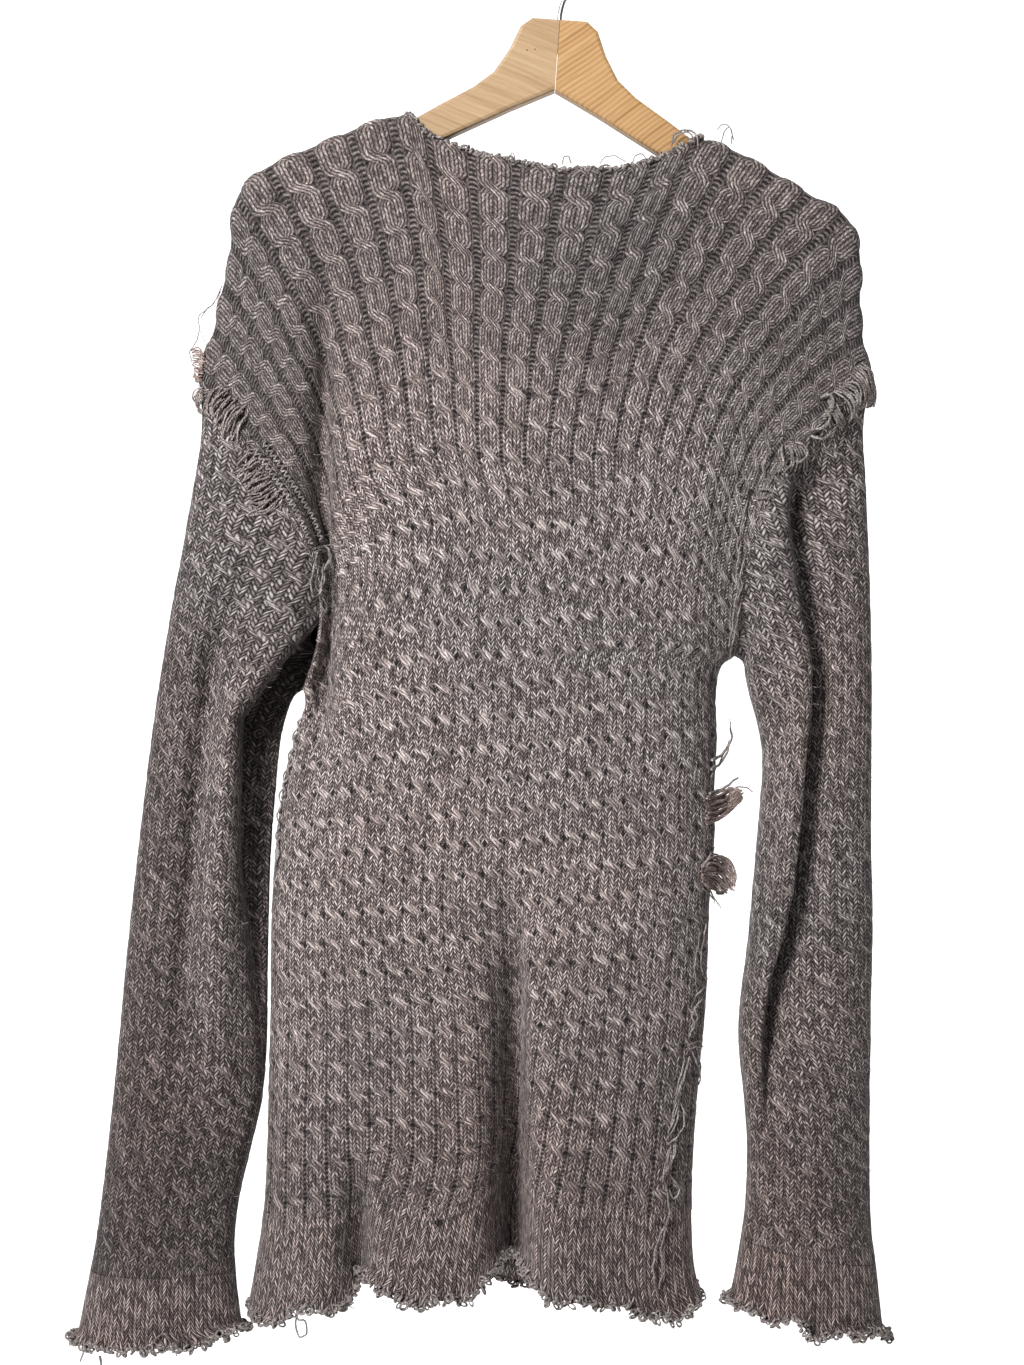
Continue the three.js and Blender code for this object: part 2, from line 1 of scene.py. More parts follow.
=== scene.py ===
# %% [markdown]
# A darned wool sweater on a two-piece wooden hanger.
#
# The sweater is a slim pullover in cable knit. It hangs from a hanger, so its cloth bends over two wooden
# arms and falls almost flat. This lesson builds each knitted piece as a thin closed wall, lets Geometry
# Nodes raise the cables on it, and then adds what makes an old sweater look old: raw curled edges, darned
# seams and loose yarn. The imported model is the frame: it says where every piece is and how big it is.

# %% Load the frame
import math

import bpy
import numpy as np
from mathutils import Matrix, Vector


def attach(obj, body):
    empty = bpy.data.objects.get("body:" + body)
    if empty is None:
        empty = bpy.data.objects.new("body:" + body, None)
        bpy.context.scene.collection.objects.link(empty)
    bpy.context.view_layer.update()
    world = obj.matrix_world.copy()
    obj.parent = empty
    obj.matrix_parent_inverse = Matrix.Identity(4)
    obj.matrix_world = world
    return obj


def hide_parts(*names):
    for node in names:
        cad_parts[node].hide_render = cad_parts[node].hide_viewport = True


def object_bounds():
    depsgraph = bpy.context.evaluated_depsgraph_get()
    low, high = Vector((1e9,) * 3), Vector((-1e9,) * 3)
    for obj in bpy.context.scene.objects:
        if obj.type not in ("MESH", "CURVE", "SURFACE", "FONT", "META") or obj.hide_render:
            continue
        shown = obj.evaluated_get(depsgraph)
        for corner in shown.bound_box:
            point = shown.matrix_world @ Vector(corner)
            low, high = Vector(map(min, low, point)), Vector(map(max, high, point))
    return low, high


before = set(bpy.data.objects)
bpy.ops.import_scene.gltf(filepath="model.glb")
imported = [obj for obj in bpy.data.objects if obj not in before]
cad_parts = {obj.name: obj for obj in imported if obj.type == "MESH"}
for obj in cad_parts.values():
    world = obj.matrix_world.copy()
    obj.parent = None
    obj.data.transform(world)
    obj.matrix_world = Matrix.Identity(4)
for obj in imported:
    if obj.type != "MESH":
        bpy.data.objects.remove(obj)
cad_low, cad_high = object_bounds()
MM = 0.001
print("the frame holds", len(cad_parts), "pieces, and is",
      [round(v, 3) for v in cad_high - cad_low], "m")

# %% [markdown]
# The sweater hangs in front of the camera, which stands level with its middle. A plain pale floor and
# a curved backdrop catch no hard shadow, and three soft lights do the rest: the main one in front, high
# and to the left, a weak one from the right, and one from above that draws the relief of the knit. The
# backdrop glows only behind the sweater, and the world is bright only where it is seen directly, so both
# stay white and don't wash out the shade in the cloth's folds.

# %% Camera, lights and floor
scene = bpy.context.scene
scene.view_settings.view_transform = "Standard"

CAMERA_PLACE = (-0.0336, -1.30, -0.525)
LENS = 49.0
MIDDLE = (0, 0, -0.5)
FLOOR_HEIGHT = cad_low.z - 0.35
FLOOR_FRONT = -6.0
FLOOR_BACK = 1.6
FLOOR_BEND = 1.6
HALF_WIDTH = 7.0
WALL_TOP = 7.0


def add_camera():
    data = bpy.data.cameras.new("front_camera")
    data.lens = LENS
    data.sensor_width = 36.0
    camera = bpy.data.objects.new("front_camera", data)
    camera.location = CAMERA_PLACE
    camera.rotation_euler = (math.radians(90), 0, 0)
    scene.collection.objects.link(camera)
    scene.camera = camera


def add_soft_light(name, place, aim, size, watts, colour=(1, 1, 1)):
    data = bpy.data.lights.new(name, "AREA")
    data.shape = "DISK"
    data.size = size
    data.energy = watts
    data.color = colour
    light = bpy.data.objects.new(name, data)
    light.location = place
    direction = [a - b for a, b in zip(aim, place)]
    light.rotation_euler = Vector(direction).to_track_quat("-Z", "Y").to_euler()
    scene.collection.objects.link(light)


def map_range(tree, source, from_min, from_max, to_min, to_max):
    """A node that turns one range of numbers into another."""
    node = tree.nodes.new("ShaderNodeMapRange")
    tree.links.new(source, node.inputs[0])
    for number, value in enumerate((from_min, from_max, to_min, to_max), 1):
        node.inputs[number].default_value = value
    return node.outputs[0]


def add_backdrop():
    """A floor that curves up into a wall behind the sweater, all one sheet."""
    profile = [(FLOOR_FRONT, 0.0), (FLOOR_BACK, 0.0)]
    for angle in np.linspace(0.1, math.pi / 2, 16):
        profile.append((FLOOR_BACK + FLOOR_BEND * math.sin(angle), FLOOR_BEND - FLOOR_BEND * math.cos(angle)))
    profile.append((FLOOR_BACK + FLOOR_BEND, WALL_TOP))
    verts = [(x, y, FLOOR_HEIGHT + z) for x in (-HALF_WIDTH, HALF_WIDTH) for y, z in profile]
    n = len(profile)
    faces = [(i, n + i, n + i + 1, i + 1) for i in range(n - 1)]
    mesh = bpy.data.meshes.new("floor")
    mesh.from_pydata(verts, [], faces)
    mesh.shade_smooth()
    floor = bpy.data.objects.new("floor", mesh)
    scene.collection.objects.link(floor)
    paint = bpy.data.materials.new("pale_floor")
    paint.use_nodes = True
    tree = paint.node_tree
    shader = tree.nodes["Principled BSDF"]
    shader.inputs["Base Color"].default_value = (0.6, 0.6, 0.6, 1)
    shader.inputs["Roughness"].default_value = 0.9
    shader.inputs["Emission Color"].default_value = (1, 1, 1, 1)
    place = tree.nodes.new("ShaderNodeSeparateXYZ")
    tree.links.new(tree.nodes.new("ShaderNodeTexCoord").outputs["Object"], place.inputs[0])
    behind = map_range(tree, place.outputs["Y"], -0.9, -0.2, 0.0, 1.0)
    tree.links.new(behind, shader.inputs["Emission Strength"])
    mesh.materials.append(paint)


def add_world():
    """A white world that is bright where it is seen and weak as a light."""
    world = bpy.data.worlds.new("studio")
    world.use_nodes = True
    tree = world.node_tree
    background = tree.nodes["Background"]
    background.inputs["Color"].default_value = (1, 1, 1, 1)
    seen = tree.nodes.new("ShaderNodeLightPath").outputs["Is Camera Ray"]
    tree.links.new(map_range(tree, seen, 0, 1, 0.05, 0.95), background.inputs["Strength"])
    scene.world = world


add_camera()
add_backdrop()
add_soft_light("key", (-1.2, -1.75, 0.55), MIDDLE, 0.7, 98)
add_soft_light("fill", (1.0, -2.2, -0.3), MIDDLE, 1.0, 2.5)
add_soft_light("above", (0.1, -0.7, 1.1), MIDDLE, 0.7, 6, (0.92, 0.97, 1.0))
add_world()
print("camera at", CAMERA_PLACE, "and the floor at", round(FLOOR_HEIGHT, 3))

# %% [markdown]
# The outlines of a hanging sweater are slack curves, so each one is a smooth line through a few points.
# A line is read by the share of its length. Everything in this part is in millimetres, as a knitter
# would measure it, and is turned into metres when a mesh is made. X runs to the right, Z up, and the
# front of the sweater faces -Y.

# %% Smooth lines and small shapes
def line(points):
    """A smooth line through points, as a function of the share of its length."""
    p = np.array(points, float)
    p = np.vstack([2 * p[0] - p[1], p, 2 * p[-1] - p[-2]])
    t = np.linspace(0, len(points) - 1, 601)
    i = np.minimum(t.astype(int), len(points) - 2)
    w = (t - i)[:, None]
    a, b, c, d = p[i], p[i + 1], p[i + 2], p[i + 3]
    ab, bc, cd = (np.linalg.norm(v - u, axis=1)[:, None] ** 0.5 for u, v in ((a, b), (b, c), (c, d)))
    start = ((b - a) / ab - (c - a) / (ab + bc) + (c - b) / bc) * bc
    end = ((c - b) / bc - (d - b) / (bc + cd) + (d - c) / cd) * bc
    curve = b + start * w + (3 * (c - b) - 2 * start - end) * w**2 + (2 * (b - c) + start + end) * w**3
    length = np.concatenate([[0], np.cumsum(np.linalg.norm(np.diff(curve, axis=0), axis=1))])
    share = length / length[-1]
    return lambda s: tuple(np.interp(s, share, values) for values in curve.T)


def mix(a, b, t):
    return a + (b - a) * t


def ramp(x, start, end):
    t = np.clip((x - start) / (end - start), 0, 1)
    return t * t * (3 - 2 * t)


def hump(x, centre, width):
    return np.exp(-(((x - centre) / width) ** 2))


# %% Outlines of the front and back
left_shoulder = line([
    [-253, -308], [-242, -280], [-236.5, -253], [-231.5, -234], [-229.5, -215], [-228.5, -197],
    [-225.5, -186], [-216.5, -173.5], [-204, -165], [-159, -145.5], [-124, -131.5], [-107, -129]])
right_shoulder = line([
    [98, -145.4], [116, -151], [150, -169.5], [185, -190.3], [194, -194.5], [203, -204.5],
    [208, -216], [209.7, -235], [209.7, -269], [213.5, -296], [219, -314]])
neck_front = line([
    [-107, -129], [-90, -145], [-56, -158], [-18, -167], [20, -170], [52, -166], [76, -157], [98, -145.4]])
neck_back = line([
    [-107, -129], [-92, -140], [-56, -157], [-18, -171], [20, -176], [52, -171], [76, -157], [98, -145.4]])
left_armhole = line([
    [-253, -308], [-219, -357], [-188, -405], [-170.5, -441], [-166.5, -475], [-170, -503], [-179, -529]])
right_armhole = line([[219, -314], [180, -347], [148, -382], [130, -434], [122, -506]])
left_side = line([
    [-179, -529], [-177.5, -540], [-183.5, -560], [-191.5, -590], [-198, -640], [-201, -690],
    [-201.5, -747], [-202.5, -790], [-204, -851], [-206, -891], [-212.5, -934], [-217, -960]])
right_side = line([
    [122, -506], [113.5, -511.5], [109.8, -520], [108.3, -534], [109, -566], [107.2, -598], [107.4, -630],
    [103.7, -681], [101.4, -745], [95.3, -811], [92, -859], [91, -899], [93.2, -934], [98, -952]])
print("the shoulders are", round(left_shoulder(0.5)[0]), "to", round(right_shoulder(0.5)[0]), "mm across")

# %% [markdown]
# A front or back panel is a surface with two coordinates: "across" runs over the knit's columns, from
# the left edge to the right, and "down" runs along them, from the shoulder to the hem. The outline gives
# the edges, and a few formulas give the depth: the cloth bends over the hanger's arms on a 10 mm round,
# falls outwards to the chest, and turns back at the side seams. Long soft troughs are added one by one
# where the cloth hangs in folds.

# %% The front and back surfaces
ARMPIT_DOWN = 0.40
HILL_DOWN = 0.55
RIB_DOWN = 0.92
OVER_ARM = 10
BODY_DEPTH = 37
BACK_DEPTH = 33
ARMHOLE_DEPTH = 26
NECK_FROM = 0.364
NECK_TO = 0.655
NECK_BELOW_ARMS = 92
HALF_SEAM = 0.15


def top_edge(across, front):
    neck = neck_front if front else neck_back
    left = left_shoulder(np.clip(across / NECK_FROM, 0, 1))
    centre = neck(np.clip((across - NECK_FROM) / (NECK_TO - NECK_FROM), 0, 1))
    right = right_shoulder(np.clip((across - NECK_TO) / (1 - NECK_TO), 0, 1))
    pick = lambda k: np.where(across <= NECK_FROM, left[k], np.where(across >= NECK_TO, right[k], centre[k]))
    return pick(0), pick(1)


def edge_at(armhole, side, down):
    upper = armhole(np.clip(down / ARMPIT_DOWN, 0, 1))
    lower = side(np.clip((down - ARMPIT_DOWN) / (1 - ARMPIT_DOWN), 0, 1))
    return [np.where(down < ARMPIT_DOWN, u, l) for u, l in zip(upper, lower)]


def armhole_depth(share, tucked):
    oval = np.sqrt(np.maximum(0, 4 * share * (1 - share))) ** 1.1
    return ARMHOLE_DEPTH * oval * (1 - 0.35 * ramp(share, 0.6, 0.95) * tucked)


def depth_below_arms(drop, fullest):
    bend = np.sqrt(np.maximum(0, OVER_ARM**2 - (OVER_ARM - np.minimum(drop, OVER_ARM)) ** 2))
    return np.where(drop < OVER_ARM, bend, OVER_ARM + (fullest - OVER_ARM) * ramp(drop, OVER_ARM, 330))


def hem_drop(across, front):
    if not front:
        return 3 * np.sin(13 * across) + 2 * np.sin(31 * across + 1)
    arch = 11.5 * np.maximum(0, np.sin(np.pi * across)) ** 0.7
    lift = 16 * hump(across, 0.32, 0.05) + 24 * hump(across, 0.56, 0.065)
    lobes = 7 * hump(across, 0.07, 0.08) + 14 * hump(across, 0.9, 0.1)
    return lobes - lift - arch - 1.5 + 1.2 * np.sin(38 * across)


def front_folds(x, across, down):
    """The long troughs that run up from the hem, and the hollow beside the left armhole."""
    low = ramp(down, 0.62, 1)
    beside_armhole = ramp(across, 0, 0.05) * ramp(down, 0.05, 0.2) * (1 - ramp(down, 0.38, 0.5))
    fold = -26 * low * hump(x, -33, 14) + 8 * low * hump(x, 5, 22)
    fold += -17 * ramp(down, 0.82, 1) * hump(x, -140, 13) + 5 * low * hump(x, -90, 26)
    crease = -24 * ramp(down, 0.56, 0.75) * hump(x, -29, np.where(x < -29, 17, 5))
    crease += -10 * ramp(down, 0.82, 0.93) * hump(x, -136, np.where(x < -136, 11, 4))
    return fold + crease - beside_armhole * (15 * hump(x, -166, 14) + 13 * hump(x, -165, 6))


def back_folds(x, down):
    low = ramp(down, 0.55, 1)
    return -18 * low * hump(x, 40, 18) - 14 * low * hump(x, -110, 16)


def panel_point(across, down, front):
    even = across - 0.22 * np.sin(2 * np.pi * across) / (2 * np.pi)
    lx, lz = edge_at(left_armhole, left_side, down)
    rx, rz = edge_at(right_armhole, right_side, down)
    tx, tz = top_edge(across, front)
    corner_lx, corner_lz = left_armhole(0)
    corner_rx, corner_rz = right_armhole(0)
    fan = (1 - down) * np.exp(-down / 0.17)
    hill = np.maximum(0, 1 - down / HILL_DOWN) ** 1.8
    x = mix(lx, rx, even) + fan * (tx - mix(corner_lx, corner_rx, even))
    z = mix(lz, rz, even) + hill * (tz - mix(corner_lz, corner_rz, even))
    edge = np.minimum(1, np.minimum(12 * across, 12 * (1 - across)))
    z = z - ramp(down, 0.72, 1) * hem_drop(across, front) * edge
    neck = np.sin(np.pi * np.clip((across - NECK_FROM) / (NECK_TO - NECK_FROM), 0, 1))
    drop = np.hypot(x - tx, z - tz) + NECK_BELOW_ARMS * neck
    centre = depth_below_arms(drop, BODY_DEPTH if front else BACK_DEPTH) + 7 * ramp(down, 0.5, 1)
    round_off = np.sqrt(np.maximum(0, 1 - np.abs(2 * across - 1) ** 3.2))
    tucked = np.where(across < 0.5, 1.0, 0.0) if front else 0.0
    depth = mix(armhole_depth(np.clip(down / ARMPIT_DOWN, 0, 1), tucked), centre, round_off)
    depth = depth + (front_folds(x, across, down) if front else back_folds(x, down))
    y = (-1 if front else 1) * np.maximum(HALF_SEAM, depth)
    return np.stack(np.broadcast_arrays(x, y, z), -1)


# %% [markdown]
# A sleeve is a stack of rings. The first ring is the armhole, which leans, and the last one is the cuff,
# which is level. On each ring "turn" runs from 0 at the outer edge to 1 at the inner edge, once over the
# front and once over the back. The left sleeve has a ridge down its front with the cloth falling back
# inside it. On the right sleeve the inner half laps forward over the outer half along one long crease.

# %% The sleeves' surfaces
CUFF_DOWN = 0.925
SLEEVE_FRONT_DEPTH = 30
SLEEVE_BACK_DEPTH = 24


def left_fold(turn, down):
    edge = mix(0.76, 0.88, ramp(down, 0.4, 0.85))
    strength = ramp(down, 0, 0.08) * (1 - ramp(down, 0.5, 0.85))
    ridge = 8 * strength * hump(turn, edge - 0.1, 0.12)
    trough = 10 * ramp(down, 0.08, 0.25) * (1 - ramp(down, 0.45, 0.8)) * hump(turn, 0.40 + 0.06 * down, 0.09)
    return ridge - trough


def flap_edge(z):
    """How far across the edge of the left elbow's flap is, at each height."""
    return np.interp(-z, [470, 488, 520, 550, 650, 743, 820], [-156, -170, -196, -217, -219, -215, -208])


def under_flap(x, z):
    """1 below and inside the flap, where the cloth falls back, and 0 elsewhere."""
    return ramp(x - flap_edge(z), 0, 4) * ramp(-z, 480, 492) * (1 - ramp(-z, 690, 850))


def right_fold(turn, down):
    edge = np.interp(
        down, [0.03, 0.15, 0.31, 0.42, 0.49, 0.6, 0.8], [0.31, 0.5, 0.6, 0.62, 0.65, 0.78, 0.86])
    strength = ramp(down, 0.0, 0.07) * (1 - ramp(down, 0.62, 0.84))
    outside = np.exp(np.minimum(0, turn - edge) / 0.28)
    behind = np.where(turn < edge, outside, 1 - ramp(turn, edge, edge + 0.06))
    return strength * (7 * hump(turn, edge + 0.15, 0.12) - 23 * behind)


sleeves = {
    "left": {
        "armhole": left_armhole,
        "fold": left_fold,
        "outer": line([
            [-253, -308], [-250, -345], [-261, -419], [-272, -480], [-283, -550], [-300, -694], [-312, -818],
            [-324, -916], [-337, -984]]),
        "inner": line([
            [-179, -529], [-186, -534], [-194, -555], [-200, -607], [-203, -650], [-204.5, -720],
            [-206, -786],
            [-209.2, -818], [-214, -839], [-219, -860], [-224, -881], [-228, -912], [-227, -945],
            [-223, -976]]),
    },
    "right": {
        "armhole": right_armhole,
        "fold": right_fold,
        "outer": line([
            [219, -314], [212, -340], [213.5, -392], [217, -500], [217, -640], [218, -692], [216.5, -764],
            [216.5, -898], [221, -941], [225, -979]]),
        "inner": line([
            [122, -506], [128, -510.5], [131.5, -529], [140, -562], [142, -585], [140, -612], [136, -657],
            [131, -710], [126.5, -745], [125, -774], [129, -817], [131, -848], [130, -885], [127, -912],
            [123, -936], [119, -955]]),
    },
}


def sleeve_point(side, turn, down, front):
    sleeve = sleeves[side]
    ox, oz = sleeve["outer"](down)
    ix, iz = sleeve["inner"](down**1.3)
    ax, az = sleeve["armhole"](turn)
    top_x, top_z = sleeve["armhole"](0)
    pit_x, pit_z = sleeve["armhole"](1)
    seam_shape = 1 - ramp(down, 0, 0.22)
    x = mix(ox, ix, turn) + seam_shape * (ax - mix(top_x, pit_x, turn))
    ruffle = 3 * np.sin(9 * turn + (0 if front else 2)) + 2 * np.sin(23 * turn)
    z = mix(oz, iz, turn) + seam_shape * (az - mix(top_z, pit_z, turn))
    z = z + ramp(down, CUFF_DOWN, 1) * ruffle * np.sin(np.pi * turn)
    oval = np.sqrt(np.maximum(0, 4 * turn * (1 - turn))) ** 0.9
    seam = armhole_depth(turn, 1.0 if front and side == "left" else 0.0)
    fullest = SLEEVE_FRONT_DEPTH if front else SLEEVE_BACK_DEPTH
    depth = mix(seam, fullest * oval * (1 - 0.12 * down), ramp(down, 0, 0.12))
    if front:
        depth = depth + sleeve["fold"](turn, down) * np.minimum(1, oval * 1.15)
    else:
        depth = depth - 8 * ramp(down, 0.1, 0.3) * (1 - ramp(down, 0.8, 1)) * hump(turn, 0.5, 0.09)
    if front and side == "left":
        flap = ramp(-z, 470, 500) * (1 - ramp(-z, 620, 760))
        depth = mix(depth + 5 * hump(x, flap_edge(z) - 8, 9) * flap, np.minimum(depth, 2), under_flap(x, z))
        x = x - 9 * hump(x, flap_edge(z) + 5, 4.5) * flap
    least = (2 if front and side == "left" else 3.5) * np.minimum(1, np.minimum(14 * turn, 14 * (1 - turn)))
    y = (-1 if front else 1) * np.maximum(least, depth)
    return np.stack(np.broadcast_arrays(x, y, z), -1)


# %% [markdown]
# Each surface becomes a grid of points, fine enough for the cables to be real shape: about ten points
# to a cable. Rows crowd together where the cloth bends over the arms, and columns crowd at the side
# seams. A sleeve's first ring uses the armhole's own rows, so the two edges of that seam match.

# %% Grids of points
ROW_STEP = 0.0052


def spread(start, end, step):
    return np.linspace(start, end, max(2, round((end - start) / step) + 1))


bend_rows = [0, 0.0006, 0.0018, 0.0036, 0.006, 0.009]
armhole_rows = np.concatenate([bend_rows, spread(0.0125, ARMPIT_DOWN, ROW_STEP)])
body_rows = np.concatenate([armhole_rows, spread(ARMPIT_DOWN, RIB_DOWN, ROW_STEP)[1:]])
rib_rows = spread(RIB_DOWN, 1, 0.0036)
sleeve_rows = np.concatenate([[0, 0.003, 0.007], spread(0.0125, CUFF_DOWN, 0.0063)])
cuff_rows = spread(CUFF_DOWN, 1, 0.0048)
seam_columns = [0, 0.0012, 0.0042, 0.0095, 0.0165]


def panel_columns(count):
    inner = np.linspace(0.025, 0.975, count)
    neck = [NECK_FROM, NECK_FROM + 0.003, NECK_TO - 0.003, NECK_TO]
    apart = np.min(np.abs(inner[:, None] - np.array(neck)[None]), axis=1) > 0.0022
    return np.sort(np.concatenate([seam_columns, inner[apart], neck, 1 - np.array(seam_columns)]))


front_columns = panel_columns(206)
back_columns = panel_columns(140)
turns = armhole_rows / ARMPIT_DOWN


def panel_grid(rows, front):
    columns = front_columns if front else back_columns
    grid = panel_point(columns[None, :], rows[:, None], front)
    return grid if front else grid[:, ::-1]


def sleeve_grid(rows, side):
    front = sleeve_point(side, turns[None, :], rows[:, None], True)
    back = sleeve_point(side, turns[None, 1:-1], rows[:, None], False)
    front[:, [0, -1], 1] = 0
    if side == "left":
        return np.concatenate([front, back[:, ::-1]], axis=1)
    return np.concatenate([front[:, ::-1], back], axis=1)


def grid_normals(grid, closed):
    """The direction out of the cloth at each point, from the faces around it."""
    ring = np.concatenate([grid, grid[:, :1]], axis=1) if closed else grid
    face = np.cross(ring[1:, :-1] - ring[:-1, 1:], ring[1:, 1:] - ring[:-1, :-1])
    total = np.zeros_like(grid)
    columns = grid.shape[1]
    for row in (0, 1):
        for column in (0, 1):
            at = (np.arange(face.shape[1]) + column) % columns
            np.add.at(total, (slice(row, row + face.shape[0]), at), face)
    return total / np.maximum(np.linalg.norm(total, axis=2, keepdims=True), 1e-9)


def kind_of(name):
    """panel, rib, sleeve or cuff"""
    return name.split("_")[-1]


ROWS = {"panel": body_rows, "rib": rib_rows, "sleeve": sleeve_rows, "cuff": cuff_rows}
pieces = {}
for name in ("front_panel", "back_panel", "front_hem_rib", "back_hem_rib"):
    pieces[name] = {"grid": panel_grid(ROWS[kind_of(name)], name.startswith("front")), "closed": False}
for name in ("left_sleeve", "right_sleeve", "left_cuff", "right_cuff"):
    pieces[name] = {"grid": sleeve_grid(ROWS[kind_of(name)], name.split("_")[0]), "closed": True}
for name, piece in pieces.items():
    piece["normals"] = grid_normals(piece["grid"], piece["closed"])
    print(name, "has", piece["grid"].shape[0], "rows of", piece["grid"].shape[1], "points")

# %% [markdown]
# The neck, hem and cuffs are raw. Knit that is cut and left curls towards its right side and frays into
# scallops, so the last few rows are rolled outwards and their edge is made uneven.

# %% Raw curled edges
EDGE_CURL = 4.2
EDGE_RAGGED = 2.0
CURL_FROM = 0.986


def ragged(along, phase):
    """An uneven edge: long scallops with short ones on them."""
    long_waves = np.sin(along / 9.3 + phase) + 0.7 * np.sin(along / 5.1 + 2 * phase)
    return EDGE_RAGGED * (long_waves + 0.5 * np.sin(along / 2.3 + 3 * phase))


def curl_edge(name, near, phase):
    """near is 1 on the raw edge and 0 where the cloth is flat again, for each point of the piece."""
    piece = pieces[name]
    grid = piece["grid"]
    steps = np.linalg.norm(np.diff(grid[-1], axis=0), axis=1)
    along = np.concatenate([[0], np.cumsum(steps)])
    grid += piece["normals"] * (EDGE_CURL * near**2)[..., None]
    grid[..., 2] += near * ragged(along, phase)[None, :]


for name, columns, phase in (("front_hem_rib", front_columns, 1.0), ("back_hem_rib", back_columns, 2.6)):
    ends = np.minimum(1, 30 * np.minimum(columns, 1 - columns))
    curl_edge(name, ramp(rib_rows, CURL_FROM, 1)[:, None] * ends[None, :], phase)
for name, phase in (("left_cuff", 0.4), ("right_cuff", 1.9)):
    curl_edge(name, ramp(cuff_rows, CURL_FROM, 1)[:, None], phase)
print("the raw edges curl out by", EDGE_CURL, "mm")

# %% [markdown]
# Two pieces that are sewn together meet edge to edge, 0.3 mm apart. Where they meet, both use the same
# direction for their thickness, so the two rims face each other squarely and never cross. At the
# shoulder and side seams that direction lies in the plane of the hanger.

# %% Seams
def unit(vectors):
    return vectors / np.maximum(np.linalg.norm(vectors, axis=-1, keepdims=True), 1e-9)


def share_seam(*edges, flat=False):
    """Each edge is (piece, rows, columns). They all get the mean of their normals."""
    mean = sum(pieces[name]["normals"][rows, columns] for name, rows, columns in edges)
    if flat:
        mean[..., 1] = 0
    mean = unit(mean)
    for name, rows, columns in edges:
        pieces[name]["normals"][rows, columns] = mean


def step_back(name, rows, columns, inner_rows, inner_columns):
    """Moves an edge half a seam's gap towards the points beside it."""
    grid = pieces[name]["grid"]
    inwards = unit(grid[inner_rows, inner_columns] - grid[rows, columns])
    grid[rows, columns] += inwards * HALF_SEAM


arm_rows = np.arange(len(armhole_rows))
PIT = len(armhole_rows) - 1
RING_SIZE = 2 * PIT
PIT_OUTWARDS = (0.3, 0, -0.954)
all_columns = slice(None)

share_seam(("front_panel", arm_rows, 0), ("left_sleeve", 0, arm_rows))
share_seam(("front_panel", arm_rows, -1), ("right_sleeve", 0, PIT - arm_rows))
share_seam(("back_panel", arm_rows[1:-1], -1), ("left_sleeve", 0, RING_SIZE - arm_rows[1:-1]))
share_seam(("back_panel", arm_rows[1:-1], 0), ("right_sleeve", 0, PIT + arm_rows[1:-1]))
for side, front_column, back_column, top, pit in (("left", 0, -1, 0, PIT), ("right", -1, 0, PIT, 0)):
    sleeve = f"{side}_sleeve"
    share_seam(("front_panel", 0, front_column), ("back_panel", 0, back_column), (sleeve, 0, top), flat=True)
    outwards = np.array(PIT_OUTWARDS) * (-1 if side == "left" else 1, 1, 1)
    for name, row, column in (("front_panel", PIT, front_column), ("back_panel", PIT, back_column),
                              (sleeve, 0, pit)):
        pieces[name]["normals"][row, column] = outwards
for name in ("front_panel", "back_panel", "front_hem_rib", "back_hem_rib"):
    first = PIT + 1 if name.endswith("panel") else 0
    rows = np.arange(first, pieces[name]["grid"].shape[0])
    for column in (0, -1):
        share_seam((name, rows, column), flat=True)
for columns, name in ((front_columns, "front_panel"), (back_columns[::-1], "back_panel")):
    shoulder = np.where((columns <= NECK_FROM) | (columns >= NECK_TO))[0][1:-1]
    share_seam((name, 0, shoulder), flat=True)
for panel, rib in (("front_panel", "front_hem_rib"), ("back_panel", "back_hem_rib")):
    share_seam((panel, -1, all_columns), (rib, 0, all_columns))
    share_seam((panel, -1, [0, -1]), (rib, 0, [0, -1]), flat=True)
    step_back(panel, -1, all_columns, -2, all_columns)
    step_back(rib, 0, all_columns, 1, all_columns)
for panel in ("front_panel", "back_panel"):
    step_back(panel, arm_rows, 0, arm_rows, 1)
    step_back(panel, arm_rows, -1, arm_rows, -2)
for sleeve, cuff in (("left_sleeve", "left_cuff"), ("right_sleeve", "right_cuff")):
    share_seam((sleeve, -1, all_columns), (cuff, 0, all_columns))
    step_back(sleeve, -1, all_columns, -2, all_columns)
    step_back(sleeve, 0, all_columns, 1, all_columns)
    step_back(cuff, 0, all_columns, 1, all_columns)
print("the armhole seams match on", len(arm_rows), "points each")

# %% [markdown]
# Knit has its own coordinates, and the pattern follows them rather than the room's. The first counts
# cable columns across the piece, the second counts cable crossings along it. On the shoulders the
# columns fan out from the neck, and lower down they share the width evenly. The wide columns at the
# top are stretched, so their ladders of purl stitches stand open, and that openness is kept too. A
# sleeve's rings lean, so its rows are counted by height instead. Last comes painted shade: the left
# sleeve is darkened in the fold under its elbow's flap and, more lightly, down its outside.

# %% Knit coordinates
CABLES_ROUND_PANEL = 25
CABLES_ROUND_SLEEVE = 15
STITCH_ROWS = 7
CROSSING_AT_TOP = 23.5
CROSSING_AT_HEM = 19.5
CROSSING_ON_SLEEVE = 21.5
CABLES_STOP = 0.9
SLEEVE_LEAN = {"left": 0.11, "right": 0.0}


def along_rows(grid, closed):
    steps = np.linalg.norm(np.diff(grid, axis=1), axis=2)
    length = np.concatenate([np.zeros((grid.shape[0], 1)), np.cumsum(steps, axis=1)], axis=1)
    total = length[:, -1:] + (np.linalg.norm(grid[:, :1] - grid[:, -1:], axis=2) if closed else 0)
    return length / total, total


